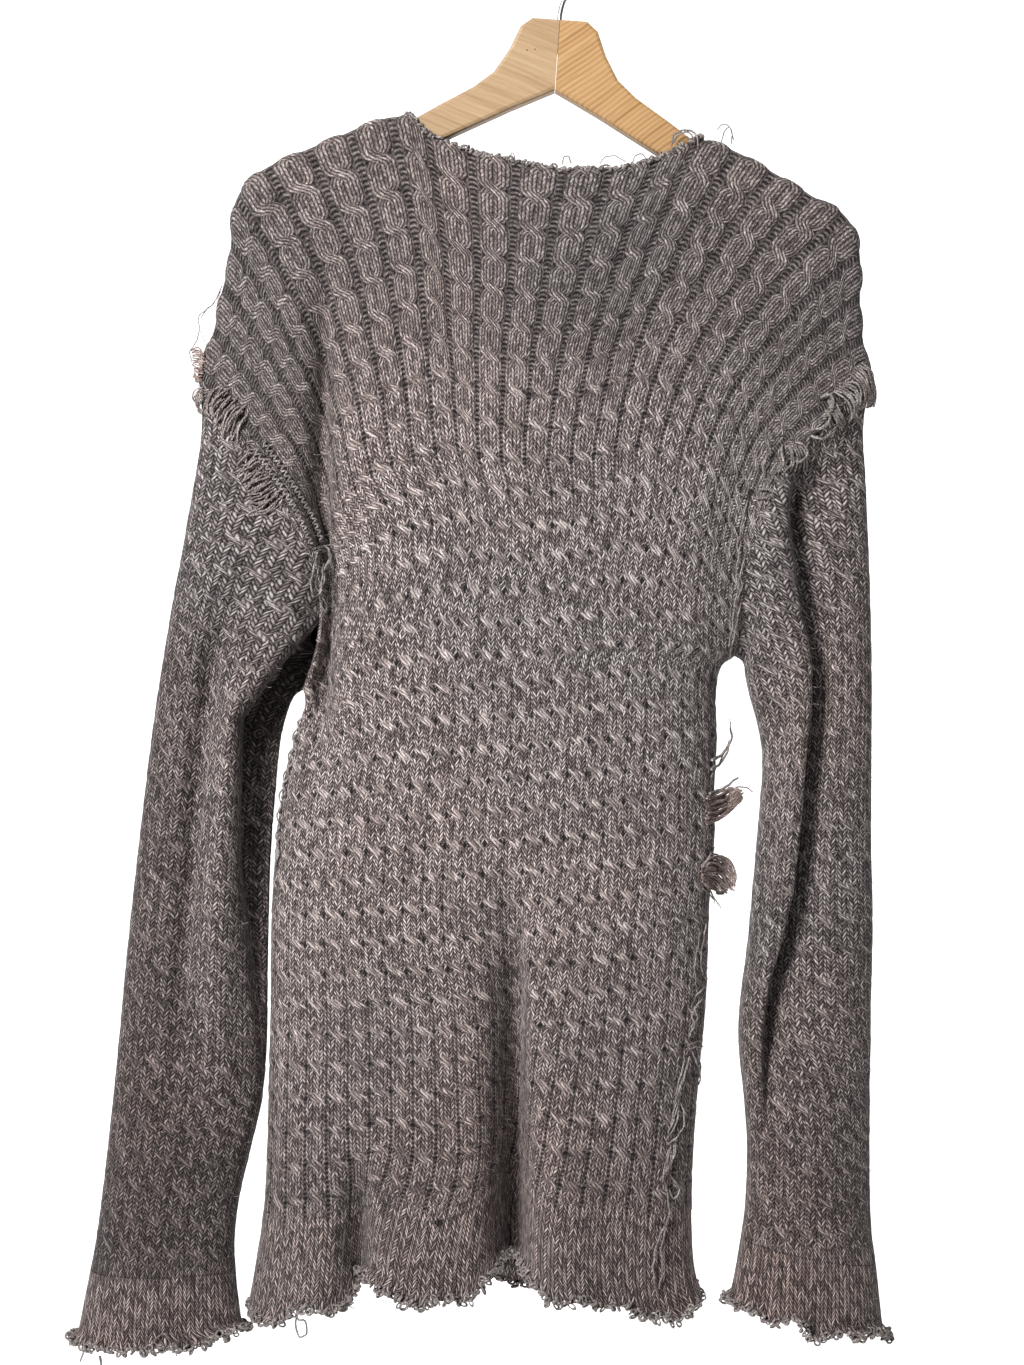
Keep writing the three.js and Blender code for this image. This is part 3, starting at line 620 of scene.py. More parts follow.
def crossings_at(down, front):
    """Crossings counted down the middle of a panel, which come closer together towards the hem."""
    rows = np.linspace(0, 1, 401)
    steps = np.linalg.norm(np.diff(panel_point(0.5, rows, front), axis=0), axis=1)
    count = np.concatenate([[0], np.cumsum(steps / mix(CROSSING_AT_TOP, CROSSING_AT_HEM, rows[1:]))])
    return np.interp(down, rows, count)


def panel_knit(grid, columns, rows, front):
    share, total = along_rows(grid, False)
    across = columns[None, :] if front else 1 - columns[None, ::-1]
    down = rows[:, None]
    fan = np.exp(-down / 0.2) * (1 - down)
    cables = mix(CABLES_ROUND_PANEL * share, 1 + (CABLES_ROUND_PANEL - 2) * across, fan)
    crossings = crossings_at(down, front) + 0 * cables
    crossing = (1 - ramp(down, CABLES_STOP, RIB_DOWN)) + 0 * cables
    pitch = np.gradient(share * total, axis=1) / np.maximum(np.gradient(cables, axis=1), 1e-6)
    openness = ramp(pitch, 12.8, 22) * crossing
    return np.stack([cables, crossings, crossing], -1), openness


def sleeve_knit(grid, rows, lean):
    share, _ = along_rows(grid, True)
    down = rows[:, None]
    cables = CABLES_ROUND_SLEEVE * share
    crossings = (-grid[..., 2] - lean * grid[..., 0]) / CROSSING_ON_SLEEVE
    crossing = (1 - ramp(down, CABLES_STOP, CUFF_DOWN)) * ramp(down, -0.01, 0.02) + 0 * cables
    return np.stack([cables, crossings, crossing], -1), 0 * cables


def left_sleeve_painted_shade(grid):
    """Painted shade: dark in the fold under the flap, and half as dark down the outside of the sleeve."""
    x, y, z = np.moveaxis(grid, 2, 0)
    outer_side_shade = 0.48 * (1 - ramp(x - flap_edge(z), -60, -15)) * ramp(-z, 400, 560)
    fold_shade = under_flap(x + 6, z) * (y < 0) * (1 - 0.5 * ramp(-z, 535, 590) - 0.35 * ramp(-z, 620, 700))
    return np.maximum(fold_shade, outer_side_shade)


for name, piece in pieces.items():
    rows = ROWS[kind_of(name)]
    if piece["closed"]:
        piece["knit"], piece["open"] = sleeve_knit(piece["grid"], rows, SLEEVE_LEAN[name.split("_")[0]])
    else:
        front = name.startswith("front")
        columns = front_columns if front else back_columns
        piece["knit"], piece["open"] = panel_knit(piece["grid"], columns, rows, front)
    piece["dirt"] = np.zeros(piece["grid"].shape[:2])
# Only the left sleeve gets painted shade, in its fold under the flap and down its outside.
pieces["left_sleeve"]["dirt"] = left_sleeve_painted_shade(pieces["left_sleeve"]["grid"])
waist_width = np.ptp(pieces["front_panel"]["grid"][100, :, 0])
print("a cable is", round(float(waist_width) / CABLES_ROUND_PANEL, 1), "mm wide")

# %% [markdown]
# A wall of cloth is an outer skin, an inner skin and the rims that join them. Some faces may be left
# out, where a hole has worn through: wherever a face has no neighbour, a rim closes the wall there.
# The mesh carries the knit coordinates, the openness, the painted shade, which skin is the outer one,
# and the direction in which each point is lifted by the pattern.

# %% The cloth's walls
OUTER_LIFT = 0.3
INNER_LIFT = 1.1


def has_neighbour(present, step, axis, closed):
    """Whether the next face along an axis is there. Past the edge of an open piece there is none."""
    moved = np.roll(present, step, axis)
    if not closed:
        np.moveaxis(moved, axis, 0)[0 if step == 1 else -1] = False
    return moved


def wall_faces(present, rows, columns, closed):
    """Quads of both skins, and of the rims along every edge with no neighbour."""
    i, j = np.nonzero(present)
    right = (j + 1) % columns
    corner = {
        "here": i * columns + j, "right": i * columns + right,
        "below": (i + 1) * columns + j, "across": (i + 1) * columns + right}
    inner = rows * columns
    quads = [
        np.stack([corner["here"], corner["below"], corner["across"], corner["right"]], 1),
        np.stack([corner["here"], corner["right"], corner["across"], corner["below"]], 1) + inner]
    sides = [
        (has_neighbour(present, 1, 0, False), "right", "here"),
        (has_neighbour(present, -1, 0, False), "below", "across"),
        (has_neighbour(present, 1, 1, closed), "here", "below"),
        (has_neighbour(present, -1, 1, closed), "across", "right")]
    for neighbour, start, end in sides:
        edge = ~neighbour[i, j]
        a, b = corner[start][edge], corner[end][edge]
        quads.append(np.stack([b, a, a + inner, b + inner], 1)[:, ::-1])
    return np.concatenate(quads)


def set_attribute(mesh, name, kind, values):
    layer = mesh.attributes.new(name, kind, "POINT")
    layer.data.foreach_set("vector" if kind == "FLOAT_VECTOR" else "value", values.astype(np.float32).ravel())


def cloth_object(name, piece, present=None):
    grid, normals = piece["grid"], piece["normals"]
    rows, columns = grid.shape[:2]
    if present is None:
        present = np.ones((rows - 1, columns if piece["closed"] else columns - 1), bool)
    points = np.concatenate([
        (grid + normals * OUTER_LIFT).reshape(-1, 3), (grid - normals * INNER_LIFT).reshape(-1, 3)]) * MM
    faces = wall_faces(present, rows, columns, piece["closed"])
    used, index = np.unique(faces, return_inverse=True)
    mesh = bpy.data.meshes.new(name)
    mesh.from_pydata(points[used].tolist(), [], index.reshape(faces.shape).tolist())
    lift = np.concatenate([normals.reshape(-1, 3), -0.2 * normals.reshape(-1, 3)])
    set_attribute(mesh, "lift", "FLOAT_VECTOR", lift[used])
    set_attribute(mesh, "knit", "FLOAT_VECTOR", np.tile(piece["knit"].reshape(-1, 3), (2, 1))[used])
    set_attribute(mesh, "openness", "FLOAT", np.tile(piece["open"].ravel(), 2)[used])
    # The painted shade is kept on the mesh for the wool's colour.
    set_attribute(mesh, "dirt", "FLOAT", np.tile(piece["dirt"].ravel(), 2)[used])
    set_attribute(mesh, "outside", "FLOAT", (used < rows * columns).astype(float))
    mesh.shade_smooth()
    made = bpy.data.objects.new(name, mesh)
    scene.collection.objects.link(made)
    return made


# %% [markdown]
# Node arithmetic is easier to read as formulas than as hundreds of separate lines. This small helper
# writes one Math node for each step, in a shader tree or in a Geometry Nodes tree alike, so the
# cable's shape can be said once and used twice: coarsely as real relief, finely as bump and colour.

# %% A helper that writes formulas as nodes
class Formula:
    def __init__(self, tree):
        self.tree = tree

    def put(self, node, **values):
        """Fills a new node's inputs, by name or by number, with sockets or plain values."""
        for key, value in values.items():
            socket = node.inputs[int(key[1:])] if key[0] == "i" and key[1:].isdigit() else node.inputs[key]
            if isinstance(value, bpy.types.NodeSocket):
                self.tree.links.new(value, socket)
            else:
                socket.default_value = value
        return node

    def new(self, kind, **values):
        """Makes a node of this kind and fills its inputs."""
        return self.put(self.tree.nodes.new(kind), **values)

    def do(self, operation, *values):
        node = self.tree.nodes.new("ShaderNodeMath")
        node.operation = operation
        return self.put(node, **{f"i{k}": v for k, v in enumerate(values)}).outputs[0]

    def add(self, *values):
        total = values[0]
        for value in values[1:]:
            total = self.do("ADD", total, value)
        return total

    def times(self, *values):
        total = values[0]
        for value in values[1:]:
            total = self.do("MULTIPLY", total, value)
        return total

    def less(self, a, b):
        return self.do("SUBTRACT", a, b)

    def between(self, a, b, share):
        """a where share is 0, b where it is 1."""
        return self.do("MULTIPLY_ADD", self.less(b, a), share, a)

    def ramp(self, x, start, end):
        node = self.tree.nodes.new("ShaderNodeMapRange")
        node.interpolation_type = "SMOOTHSTEP"
        return self.put(node, i0=x, i1=start, i2=end).outputs[0]

    def from_whole(self, x):
        """How far x is from the nearest whole number, from -0.5 to 0.5."""
        return self.less(self.do("FRACT", self.add(x, 0.5)), 0.5)

    def hump(self, x, centre, width):
        away = self.do("DIVIDE", self.less(x, centre), width)
        return self.do("EXPONENT", self.times(away, away, -1.0))

    def round_top(self, x):
        """A round profile: 1 in the middle, 0 at x of -1 and 1."""
        return self.do("SQRT", self.do("MAXIMUM", self.less(1.0, self.times(x, x)), 0.0))

    def vector(self, x, y, z):
        return self.new("ShaderNodeCombineXYZ", i0=x, i1=y, i2=z).outputs[0]

    def split(self, vector):
        return self.new("ShaderNodeSeparateXYZ", i0=vector).outputs

    def scaled(self, vector, amount):
        node = self.tree.nodes.new("ShaderNodeVectorMath")
        node.operation = "SCALE"
        return self.put(node, i0=vector, Scale=amount).outputs[0]

    def random_at(self, x, y, z):
        """A random number that is the same all over one cell."""
        return self.new("ShaderNodeTexWhiteNoise", i0=self.vector(x, y, z)).outputs[0]


# %% [markdown]
# The pattern is a small rope cable, four stitches wide, with a ladder of purl stitches between one
# cable and the next. Two strands of two stitches run side by side. At each crossing the one on the left
# passes over to the right and its neighbour goes under it. Between crossings the cable swells, and at
# the crossing it is pulled narrow. That is the whole rule, and it is written here as one function.

# %% The rope cable's shape
def rope_cable(f, cables, crossings, crossing, openness):
    """The height, the strand on top, the place in it from -1 to 1, the cable's mask, and the pinch."""
    column = f.do("FRACT", cables)
    away = f.from_whole(crossings)
    pinch = f.times(f.hump(away, 0.0, 0.15), crossing)
    turn = f.between(0.24, 0.26, openness)
    shift = f.times(f.ramp(away, f.times(turn, -1.0), turn), crossing)
    first = f.between(0.25, 0.30, openness)
    over = f.between(first, f.less(1.0, first), shift)
    under = f.less(1.0, over)
    half_width = f.between(f.between(0.25, 0.21, openness), 0.27, pinch)
    over_x = f.do("DIVIDE", f.less(column, over), half_width)
    under_x = f.do("DIVIDE", f.less(column, under), half_width)
    swell = f.add(f.between(0.3, 0.85, openness), f.times(f.less(1.0, crossing), 0.45))
    over_height = f.add(f.times(f.round_top(over_x), swell), f.times(pinch, 0.34))
    under_height = f.less(f.times(f.round_top(under_x), swell), f.times(pinch, 0.14))
    on_top = f.do("GREATER_THAN", over_height, under_height)
    height = f.do("MAXIMUM", over_height, under_height)
    place = f.between(under_x, over_x, on_top)
    inside = f.do("LESS_THAN", f.do("ABSOLUTE", place), 1.0)
    return f.times(height, inside), on_top, place, inside, pinch


# %% [markdown]
# Geometry Nodes raise the cables. The tree reads the knit coordinates stored on the mesh, works out
# the height with the rule above, adds a little unevenness from the hand that knitted it, and moves
# each point along its own lift. The height of the relief is a named input of the tree.

# %% Geometry Nodes: cable relief
def new_geometry_tree(name, inputs):
    tree = bpy.data.node_groups.new(name, "GeometryNodeTree")
    tree.interface.new_socket("Geometry", in_out="INPUT", socket_type="NodeSocketGeometry")
    tree.interface.new_socket("Geometry", in_out="OUTPUT", socket_type="NodeSocketGeometry")
    for socket_name, kind, value in inputs:
        socket = tree.interface.new_socket(socket_name, in_out="INPUT", socket_type=f"NodeSocket{kind}")
        if value is not None:
            socket.default_value = value
    return tree, tree.nodes.new("NodeGroupInput"), tree.nodes.new("NodeGroupOutput")


def finish_tree(f, geometry, finish, end, smooth=False):
    """Every tree ends in real geometry that has its material."""
    solid = f.new("GeometryNodeRealizeInstances", Geometry=geometry)
    if smooth:
        solid = f.new("GeometryNodeSetShadeSmooth", Geometry=solid.outputs[0])
    painted = f.new("GeometryNodeSetMaterial", Geometry=solid.outputs[0], Material=finish)
    f.tree.links.new(painted.outputs[0], end.inputs[0])


def stored(f, name, kind="FLOAT_VECTOR"):
    node = f.tree.nodes.new("GeometryNodeInputNamedAttribute")
    node.data_type = kind
    node.inputs["Name"].default_value = name
    return node.outputs["Attribute"]


def relief_tree():
    tree, start, end = new_geometry_tree("cable_relief", [
        ("Relief", "Float", 0.0015), ("Unevenness", "Float", 0.0004), ("Wool", "Material", None)])
    f = Formula(tree)
    cables, crossings, crossing = f.split(stored(f, "knit"))
    height, _, _, _, _ = rope_cable(f, cables, crossings, crossing, stored(f, "openness", "FLOAT"))
    noise = f.new("ShaderNodeTexNoise", Scale=90.0, Detail=1.0).outputs[0]
    uneven = f.times(f.less(noise, 0.5), start.outputs["Unevenness"])
    rise = f.add(f.times(height, start.outputs["Relief"]), uneven)
    offset = f.scaled(stored(f, "lift"), rise)
    moved = f.new("GeometryNodeSetPosition", Geometry=start.outputs[0], Offset=offset)
    finish_tree(f, moved.outputs[0], start.outputs["Wool"], end)
    return tree


def apply_tree(made, tree, **values):
    """Runs a tree on an object with these inputs, and leaves the result as its plain mesh."""
    modifier = made.modifiers.new(tree.name, "NODES")
    modifier.node_group = tree
    for item in tree.interface.items_tree:
        if item.in_out == "INPUT" and item.name.replace(" ", "_") in values:
            modifier[item.identifier] = values[item.name.replace(" ", "_")]
    graph = bpy.context.evaluated_depsgraph_get()
    mesh = bpy.data.meshes.new_from_object(
        made.evaluated_get(graph), preserve_all_data_layers=True, depsgraph=graph)
    made.modifiers.remove(modifier)
    old = made.data
    made.data = mesh
    mesh.name = made.name
    bpy.data.meshes.remove(old)


# %% [markdown]
# Each stitch shows as two short legs in a V, and the Vs of a column are nested in each other. A shader
# group draws them from the same knit coordinates: it finds the leg, skews its rows, rounds it with painted
# light and shade, and gives each its own random tone, because the yarn is marled from light and dark
# fibres. Where the knit is stretched open, a ladder of thin rungs runs between the cables over gaps of
# painted shade. Where it is closed, three ticks of painted highlight lie over each crossing, and a small
# speck of painted shade opens beside it. The group puts out a height for the bump, a painted light, which
# is dark between the legs and lighter on the raised strands, and a tone; the colours and the Principled
# shader stay in the material.

# %% Shader group: knit stitches
def new_shader_group(name, inputs, outputs):
    tree = bpy.data.node_groups.new(name, "ShaderNodeTree")
    for direction, sockets in (("INPUT", inputs), ("OUTPUT", outputs)):
        for socket_name, kind, value in sockets:
            socket = tree.interface.new_socket(socket_name, in_out=direction, socket_type=f"NodeSocket{kind}")
            if value is not None:
                socket.default_value = value
    return tree, tree.nodes.new("NodeGroupInput").outputs, tree.nodes.new("NodeGroupOutput").inputs


def nested_legs(f, legs, rows, slope, openness, seed):
    """How near the middle of its leg a point is, and a random tone for the leg."""
    leg = f.do("FLOOR", legs)
    x = f.less(f.do("FRACT", legs), 0.5)
    lean = f.less(f.times(f.do("FRACT", f.times(leg, 0.5)), 4.0), 1.0)
    rows = f.add(rows, f.times(lean, x, slope))
    y = f.less(f.do("FRACT", rows), 0.5)
    along_rows, along_leg = f.round_top(f.times(y, 2.0)), f.round_top(f.times(x, 2.0))
    slanted = f.times(f.do("POWER", along_rows, 3.2), f.do("POWER", along_leg, 1.5))
    upright = f.times(f.do("POWER", along_leg, 2.2), f.do("POWER", along_rows, 0.7))
    shape = f.between(slanted, upright, openness)
    return shape, f.random_at(leg, f.do("FLOOR", rows), seed)


def open_ladder(f, cables, stitch_rows, openness, pinch):
    """The painted light (dark gaps, lighter rungs), the rungs and the mask of the ladder between two cables.
    """
    aside = f.from_whole(cables)
    width = f.times(f.between(0.095, 0.14, pinch), f.between(0.6, 1.0, openness))
    gap = f.ramp(f.do("ABSOLUTE", aside), width, f.times(width, 0.7))
    rung_rows = f.add(stitch_rows, f.times(aside, aside, -26.0))
    rung = f.hump(f.do("FRACT", rung_rows), 0.5, 0.24)
    random = f.random_at(f.do("ROUND", cables), f.do("FLOOR", rung_rows), 7.0)
    light = f.between(f.times(random, random, 0.08), 0.42, rung)
    return light, rung, f.times(gap, f.ramp(openness, 0.0, 0.25))


def crossing_gap_shade(f, cables, crossings, crossing, openness, marks):
    """Painted shade: how dark the gap beside a crossing is, a little different at each."""
    random = f.random_at(f.do("ROUND", cables), f.do("ROUND", crossings), 3.0)
    shape = f.times(f.hump(f.from_whole(cables), 0.0, 0.12), f.hump(f.from_whole(crossings), 0.02, 0.10))
    closed = f.times(f.less(1.0, openness), crossing)
    return f.times(f.ramp(shape, 0.3, 0.65), closed, f.ramp(random, -0.3, 0.5), marks, 0.85)


def crossing_ticks(f, place):
    """Three upright ticks of painted highlight side by side over a strand."""
    tick = f.do("FRACT", f.times(f.add(place, 1.0), 1.5))
    return f.times(f.do("POWER", f.round_top(f.less(f.times(tick, 2.0), 1.0)), 1.5), 0.74)


def stitches_group():
    tree, given, result = new_shader_group(
        "knit_stitches",
        [("Knit", "Vector", None), ("Openness", "Float", 0.0), ("Crossing Marks", "Float", 1.0)],
        [("Height", "Float", None), ("Light", "Float", None), ("Tone", "Float", None)])
    f = Formula(tree)
    openness, marks = given["Openness"], given["Crossing Marks"]
    cables, crossings, crossing = f.split(given["Knit"])
    height, on_top, place, inside, pinch = rope_cable(f, cables, crossings, crossing, openness)
    stitch_rows = f.times(crossings, float(STITCH_ROWS))
    legs_in_strand = f.less(f.between(1.25, 2.2, openness), f.times(f.less(1.0, crossing), -0.25))
    strand_legs = f.add(f.times(f.add(place, 1.0), legs_in_strand), f.times(f.do("FLOOR", cables), 12.0))
    slope = f.add(f.between(1.35, 1.0, openness), f.times(f.less(1.0, crossing), 0.4))
    cable_leg, cable_random = nested_legs(f, strand_legs, stitch_rows, slope, openness, on_top)
    plain_leg, plain_random = nested_legs(f, f.times(cables, 5.0), stitch_rows, slope, openness, 2.0)
    crossed = f.times(pinch, f.less(1.0, openness), on_top, marks)
    cable_leg = f.between(cable_leg, crossing_ticks(f, place), crossed)
    # Painted light: the cable's strands are lighter where they stand higher.
    body = f.add(f.between(1.12, 0.28, openness), f.times(height, f.between(0.65, 0.59, openness)))
    beside = f.between(1.0, f.between(0.8, 0.7, openness), f.times(pinch, marks))
    painted_plain_light = f.times(plain_leg, f.times(f.between(1.25, 0.40, openness), beside))
    painted_knit_light = f.between(painted_plain_light, f.times(cable_leg, body), inside)
    painted_ladder_light, rung, ladder = open_ladder(f, cables, stitch_rows, openness, pinch)
    gap_shade = crossing_gap_shade(f, cables, crossings, crossing, openness, marks)
    # The light is painted light and shade: dark gaps and specks, lighter legs and strands.
    light = f.times(f.between(painted_knit_light, painted_ladder_light, ladder), f.less(1.0, gap_shade))
    knit_height = f.add(f.times(height, 0.4), f.times(f.between(plain_leg, cable_leg, inside), 0.6))
    random = f.between(plain_random, cable_random, inside)
    fibre_place = f.vector(f.times(cables, 22.0), f.times(stitch_rows, 2.3), on_top)
    fibres = f.new("ShaderNodeTexNoise", i0=fibre_place, Scale=1.0, Detail=2.0).outputs[0]
    tree.links.new(f.between(knit_height, f.times(rung, 0.4), ladder), result["Height"])
    tree.links.new(light, result["Light"])
    tree.links.new(f.between(fibres, random, f.between(0.36, 0.25, openness)), result["Tone"])
    return tree


knit_stitches = stitches_group()
cable_relief = relief_tree()
print("the stitch group has", len(knit_stitches.nodes), "nodes")

# %% [markdown]
# The wool is a soft grey-brown, in slightly cooler and warmer patches, with flecks of light hair. Painted
# shade darkens it towards the hem and down the outside of the left sleeve, and most deeply in the fold
# under the left elbow's flap, and each piece's copy of the wool is darkened by its own grey as painted
# shade. A little sheen stands for the fine fibres that catch the light. Roughness is high all over, and
# slightly lower on the raised legs, which are rubbed.

# %% Materials: wool
def material(name):
    made = bpy.data.materials.new(name)
    made.use_nodes = True
    return made, made.node_tree, made.node_tree.nodes["Principled BSDF"]


def colour_ramp(f, factor, stops):
    node = f.tree.nodes.new("ShaderNodeValToRGB")
    ramp_points = node.color_ramp.elements
    while len(ramp_points) < len(stops):
        ramp_points.new(0.5)
    for point, (position, colour) in zip(ramp_points, stops):
        point.position = position
        point.color = (*colour, 1)
    f.put(node, i0=factor)
    return node.outputs[0]


def mix_colours(f, kind, factor, a, b):
    node = f.tree.nodes.new("ShaderNodeMix")
    node.data_type = "RGBA"
    node.blend_type = kind
    f.put(node, i0=factor, i6=a, i7=b)
    return node.outputs[2]


def object_place(f):
    return f.new("ShaderNodeTexCoord").outputs["Object"]


def noise(f, scale, detail=2.0, stretch=(1, 1, 1)):
    mapping = f.new("ShaderNodeMapping", i0=object_place(f), Scale=stretch)
    return f.new("ShaderNodeTexNoise", i0=mapping.outputs[0], Scale=scale, Detail=detail).outputs[0]


def attribute(tree, name, output="Fac"):
    node = tree.nodes.new("ShaderNodeAttribute")
    node.attribute_name = name
    return node.outputs[output]


def shaded(f, colour, light):
    """A colour times a grey, which paints this light or shade into it."""
    grey = f.new("ShaderNodeCombineColor", i0=light, i1=light, i2=light)
    return mix_colours(f, "MULTIPLY", 1.0, colour, grey.outputs[0])


def add_bump(f, shader, height, strength, distance):
    bump = f.new("ShaderNodeBump", Strength=strength, Distance=distance, Height=height)
    f.tree.links.new(bump.outputs[0], shader.inputs["Normal"])


WOOL_STOPS = [
    (0.26, (0.040, 0.032, 0.031)), (0.42, (0.200, 0.170, 0.162)),
    (0.58, (0.420, 0.370, 0.355)), (0.78, (0.800, 0.750, 0.730))]
# Painted shade: the wool grows darker between these two heights, towards the hem, in metres.
HEM_SHADE_HEIGHTS = (-0.62, -0.92)
# The grey that the left sleeve's painted shade darkens the wool towards.
PAINTED_SHADE_GREY = (0.22, 0.20, 0.20, 1)


def wool_material(name, painted_shade_tint, marks=1.0):
    """the tint is a grey that darkens this copy of the wool as painted shade and shifts its hue a little;
    marks is how plain the crossings' ticks and specks are.
    """
    made, tree, shader = material(name)
    f = Formula(tree)
    stitches = tree.nodes.new("ShaderNodeGroup")
    stitches.node_tree = knit_stitches
    f.put(stitches, Knit=attribute(tree, "knit", "Vector"), Openness=attribute(tree, "openness"))
    stitches.inputs["Crossing Marks"].default_value = marks
    yarn = colour_ramp(f, stitches.outputs["Tone"], WOOL_STOPS)
    patches = colour_ramp(f, noise(f, 5.0, 3.0), [(0.35, (0.84, 0.82, 0.82)), (0.65, (1.0, 0.91, 0.88))])
    # Cooler and warmer patches of the wool, then this copy's painted shade.
    yarn = mix_colours(f, "MULTIPLY", 1.0, mix_colours(f, "MULTIPLY", 1.0, yarn, patches), (*painted_shade_tint, 1))
    # Painted shade, darker towards the hem.
    near_hem = f.ramp(f.split(object_place(f))[2], *HEM_SHADE_HEIGHTS)
    painted_hem_shade = colour_ramp(f, near_hem, [(0.0, (1, 1, 1)), (1.0, (0.76, 0.72, 0.71))])
    yarn = mix_colours(f, "MULTIPLY", 1.0, yarn, painted_hem_shade)
    # Painted shade on the left sleeve, where the stored mask says.
    yarn = mix_colours(f, "MULTIPLY", attribute(tree, "dirt"), yarn, PAINTED_SHADE_GREY)
    # The stitches' painted light and shade multiply the colour.
    tree.links.new(shaded(f, yarn, stitches.outputs["Light"]), shader.inputs["Base Color"])
    tree.links.new(f.between(0.95, 0.8, stitches.outputs["Height"]), shader.inputs["Roughness"])
    add_bump(f, shader, stitches.outputs["Height"], 0.9, 0.0010)
    shader.inputs["Sheen Weight"].default_value = 0.06
    shader.inputs["Sheen Roughness"].default_value = 0.45
    shader.inputs["Specular IOR Level"].default_value = 0.25
    return made


# The same wool in darker copies, as painted shade: the sleeves darkest, then the cuffs, the rib and the
# panels.
wools = {
    "panel": wool_material("cable_wool", (0.95, 0.95, 0.955)),
    "sleeve": wool_material("sleeve_wool", (0.69, 0.69, 0.70), marks=0.35),
    "rib": wool_material("rib_wool", (0.84, 0.83, 0.83)),
    "cuff": wool_material("cuff_wool", (0.74, 0.72, 0.72)),
}

# %% The knitted pieces
RELIEF = {"panel": 0.0014, "rib": 0.0009, "sleeve": 0.0008, "cuff": 0.0009}
HOLE_PLACE = (-83.5, -887)
HOLE_RADII = (3.2, 4.4)


def outside_hole(grid):
    """The faces that are left around the small hole in the front hem rib."""
    x, _, z = np.moveaxis(grid[:-1, :-1], 2, 0)
    return ~(np.hypot((x - HOLE_PLACE[0]) / HOLE_RADII[0], (z - HOLE_PLACE[1]) / HOLE_RADII[1]) < 1)


cloth = {}
for name, piece in pieces.items():
    kind = kind_of(name)
    present = outside_hole(piece["grid"]) if name == "front_hem_rib" else None
    made = cloth_object(name + "_knit", piece, present)
    apply_tree(made, cable_relief, Relief=RELIEF[kind], Unevenness=0.0006, Wool=wools[kind])
    cloth[name] = made
    print(made.name, "has", 2 * len(made.data.polygons), "triangles")

# %% [markdown]
# Old wool sheds yarn. At the armholes the seams are darned with rows of parallel strands, the side seams
# have come apart into tufts and tails, and loops stand up from the neck. Each strand is a smooth line
# through a few places, given as across, up and how far in front of the cloth it lies. A row of strands
# needs only its first and last one: those between are mixed from the two.

# %% Strands of yarn
STRAND_STEP = 1.5
hand = np.random.default_rng(11)
front_places = np.concatenate([
    piece["grid"][piece["normals"][..., 1] < 0.2] for piece in pieces.values()])


def on_front(x, z, out):
    """A place this far in front of the cloth that is nearest to x and z."""
    away = np.hypot(front_places[:, 0] - x, front_places[:, 2] - z)
    nearest = front_places[np.argpartition(away, 8)[:8]]
    return [x, nearest[:, 1].min() - out, z]


def strand(guide, radius=0.55, taper=0.0, stray=0.3, brown=0.0):
    """Points along one strand with their radius and colour; stray is how far it wanders."""
    placed = np.array([on_front(*place) for place in guide])
    curve = line(placed)
    length = np.linalg.norm(np.diff(placed, axis=0), axis=1).sum()
    share = np.linspace(0, 1, max(4, round(length / STRAND_STEP)))
    points = np.stack(curve(share), -1)
    swing = np.sin(share[:, None] * length * np.array([0.55, 0.71, 0.9]) + hand.uniform(0, 6.28, 3))
    points = points + stray * swing * np.minimum(1, 4 * share)[:, None]
    return points, radius * (1 - taper * share**2), np.full(len(share), brown)


def row_of_strands(first, last, count, stray=0.5, uneven=0.0, **look):
    """Strands side by side, from the first guide to the last; uneven is how much of one may be missing."""
    first, last = np.array(first, float), np.array(last, float)
    made = []
    for share in np.linspace(0, 1, count):
        guide = mix(first, last, share)
        guide = guide + hand.normal(0, stray, guide.shape) * np.array([1, 1, 0.6])
        points, radius, brown = strand(guide, stray=0.2, **look)
        kept = max(4, round(len(points) * (1 - uneven * hand.random())))
        made.append((points[:kept], radius[:kept], brown[:kept]))
    return made


def chain(guide, pitch, width, radius):
    """A yarn that swings from side to side along a line, as a row of stitches does."""
    curve = line(np.array([on_front(*place) for place in guide]))
    ends = np.array(guide)[:, :2]
    length = np.linalg.norm(np.diff(ends, axis=0), axis=1).sum()
    share = np.linspace(0, 1, round(length / pitch * 6))
    points = np.stack(curve(share), -1)
    run = unit(np.gradient(points, axis=0))
    aside = np.cross(run, [0, 1, 0])
    angle = share * length / pitch * 2 * np.pi
    points = points + aside * (width * np.sin(angle))[:, None]
    points = points + np.array([0, -0.8, 0]) * np.cos(2 * angle)[:, None]
    return points, np.full(len(share), radius), np.zeros(len(share))


def yarn_lines(name, strands):
    """A mesh of edges only, one run of them for each strand."""
    points = np.concatenate([s[0] for s in strands]) * MM
    starts = np.cumsum([0] + [len(s[0]) for s in strands])
    edges = [(k, k + 1) for a, b in zip(starts, starts[1:]) for k in range(a, b - 1)]
    mesh = bpy.data.meshes.new(name)
    mesh.from_pydata(points.tolist(), edges, [])
    set_attribute(mesh, "thick", "FLOAT", np.concatenate([s[1] for s in strands]) * MM)
    set_attribute(mesh, "brown", "FLOAT", np.concatenate([s[2] for s in strands]))
    made = bpy.data.objects.new(name, mesh)
    scene.collection.objects.link(made)
    return made


# %% [markdown]
# One Geometry Nodes tree gives every line its thickness. It turns edges into curves, sweeps a small circle
# along them, and stores two numbers on the surface: how far along the yarn a point is, and how far round
# it. The yarn's material draws the twist of its two plies from them, and the hanger's hook, which is
# round wire, is swept by the same tree.

# %% Geometry Nodes: yarn and wire
def store(f, geometry, name, value):
    node = f.tree.nodes.new("GeometryNodeStoreNamedAttribute")
    node.data_type = "FLOAT"
    node.domain = "POINT"
    return f.put(node, Geometry=geometry, Name=name, Value=value).outputs[0]


def along_spline(f, measure):
    return f.new("GeometryNodeSplineParameter").outputs[measure]


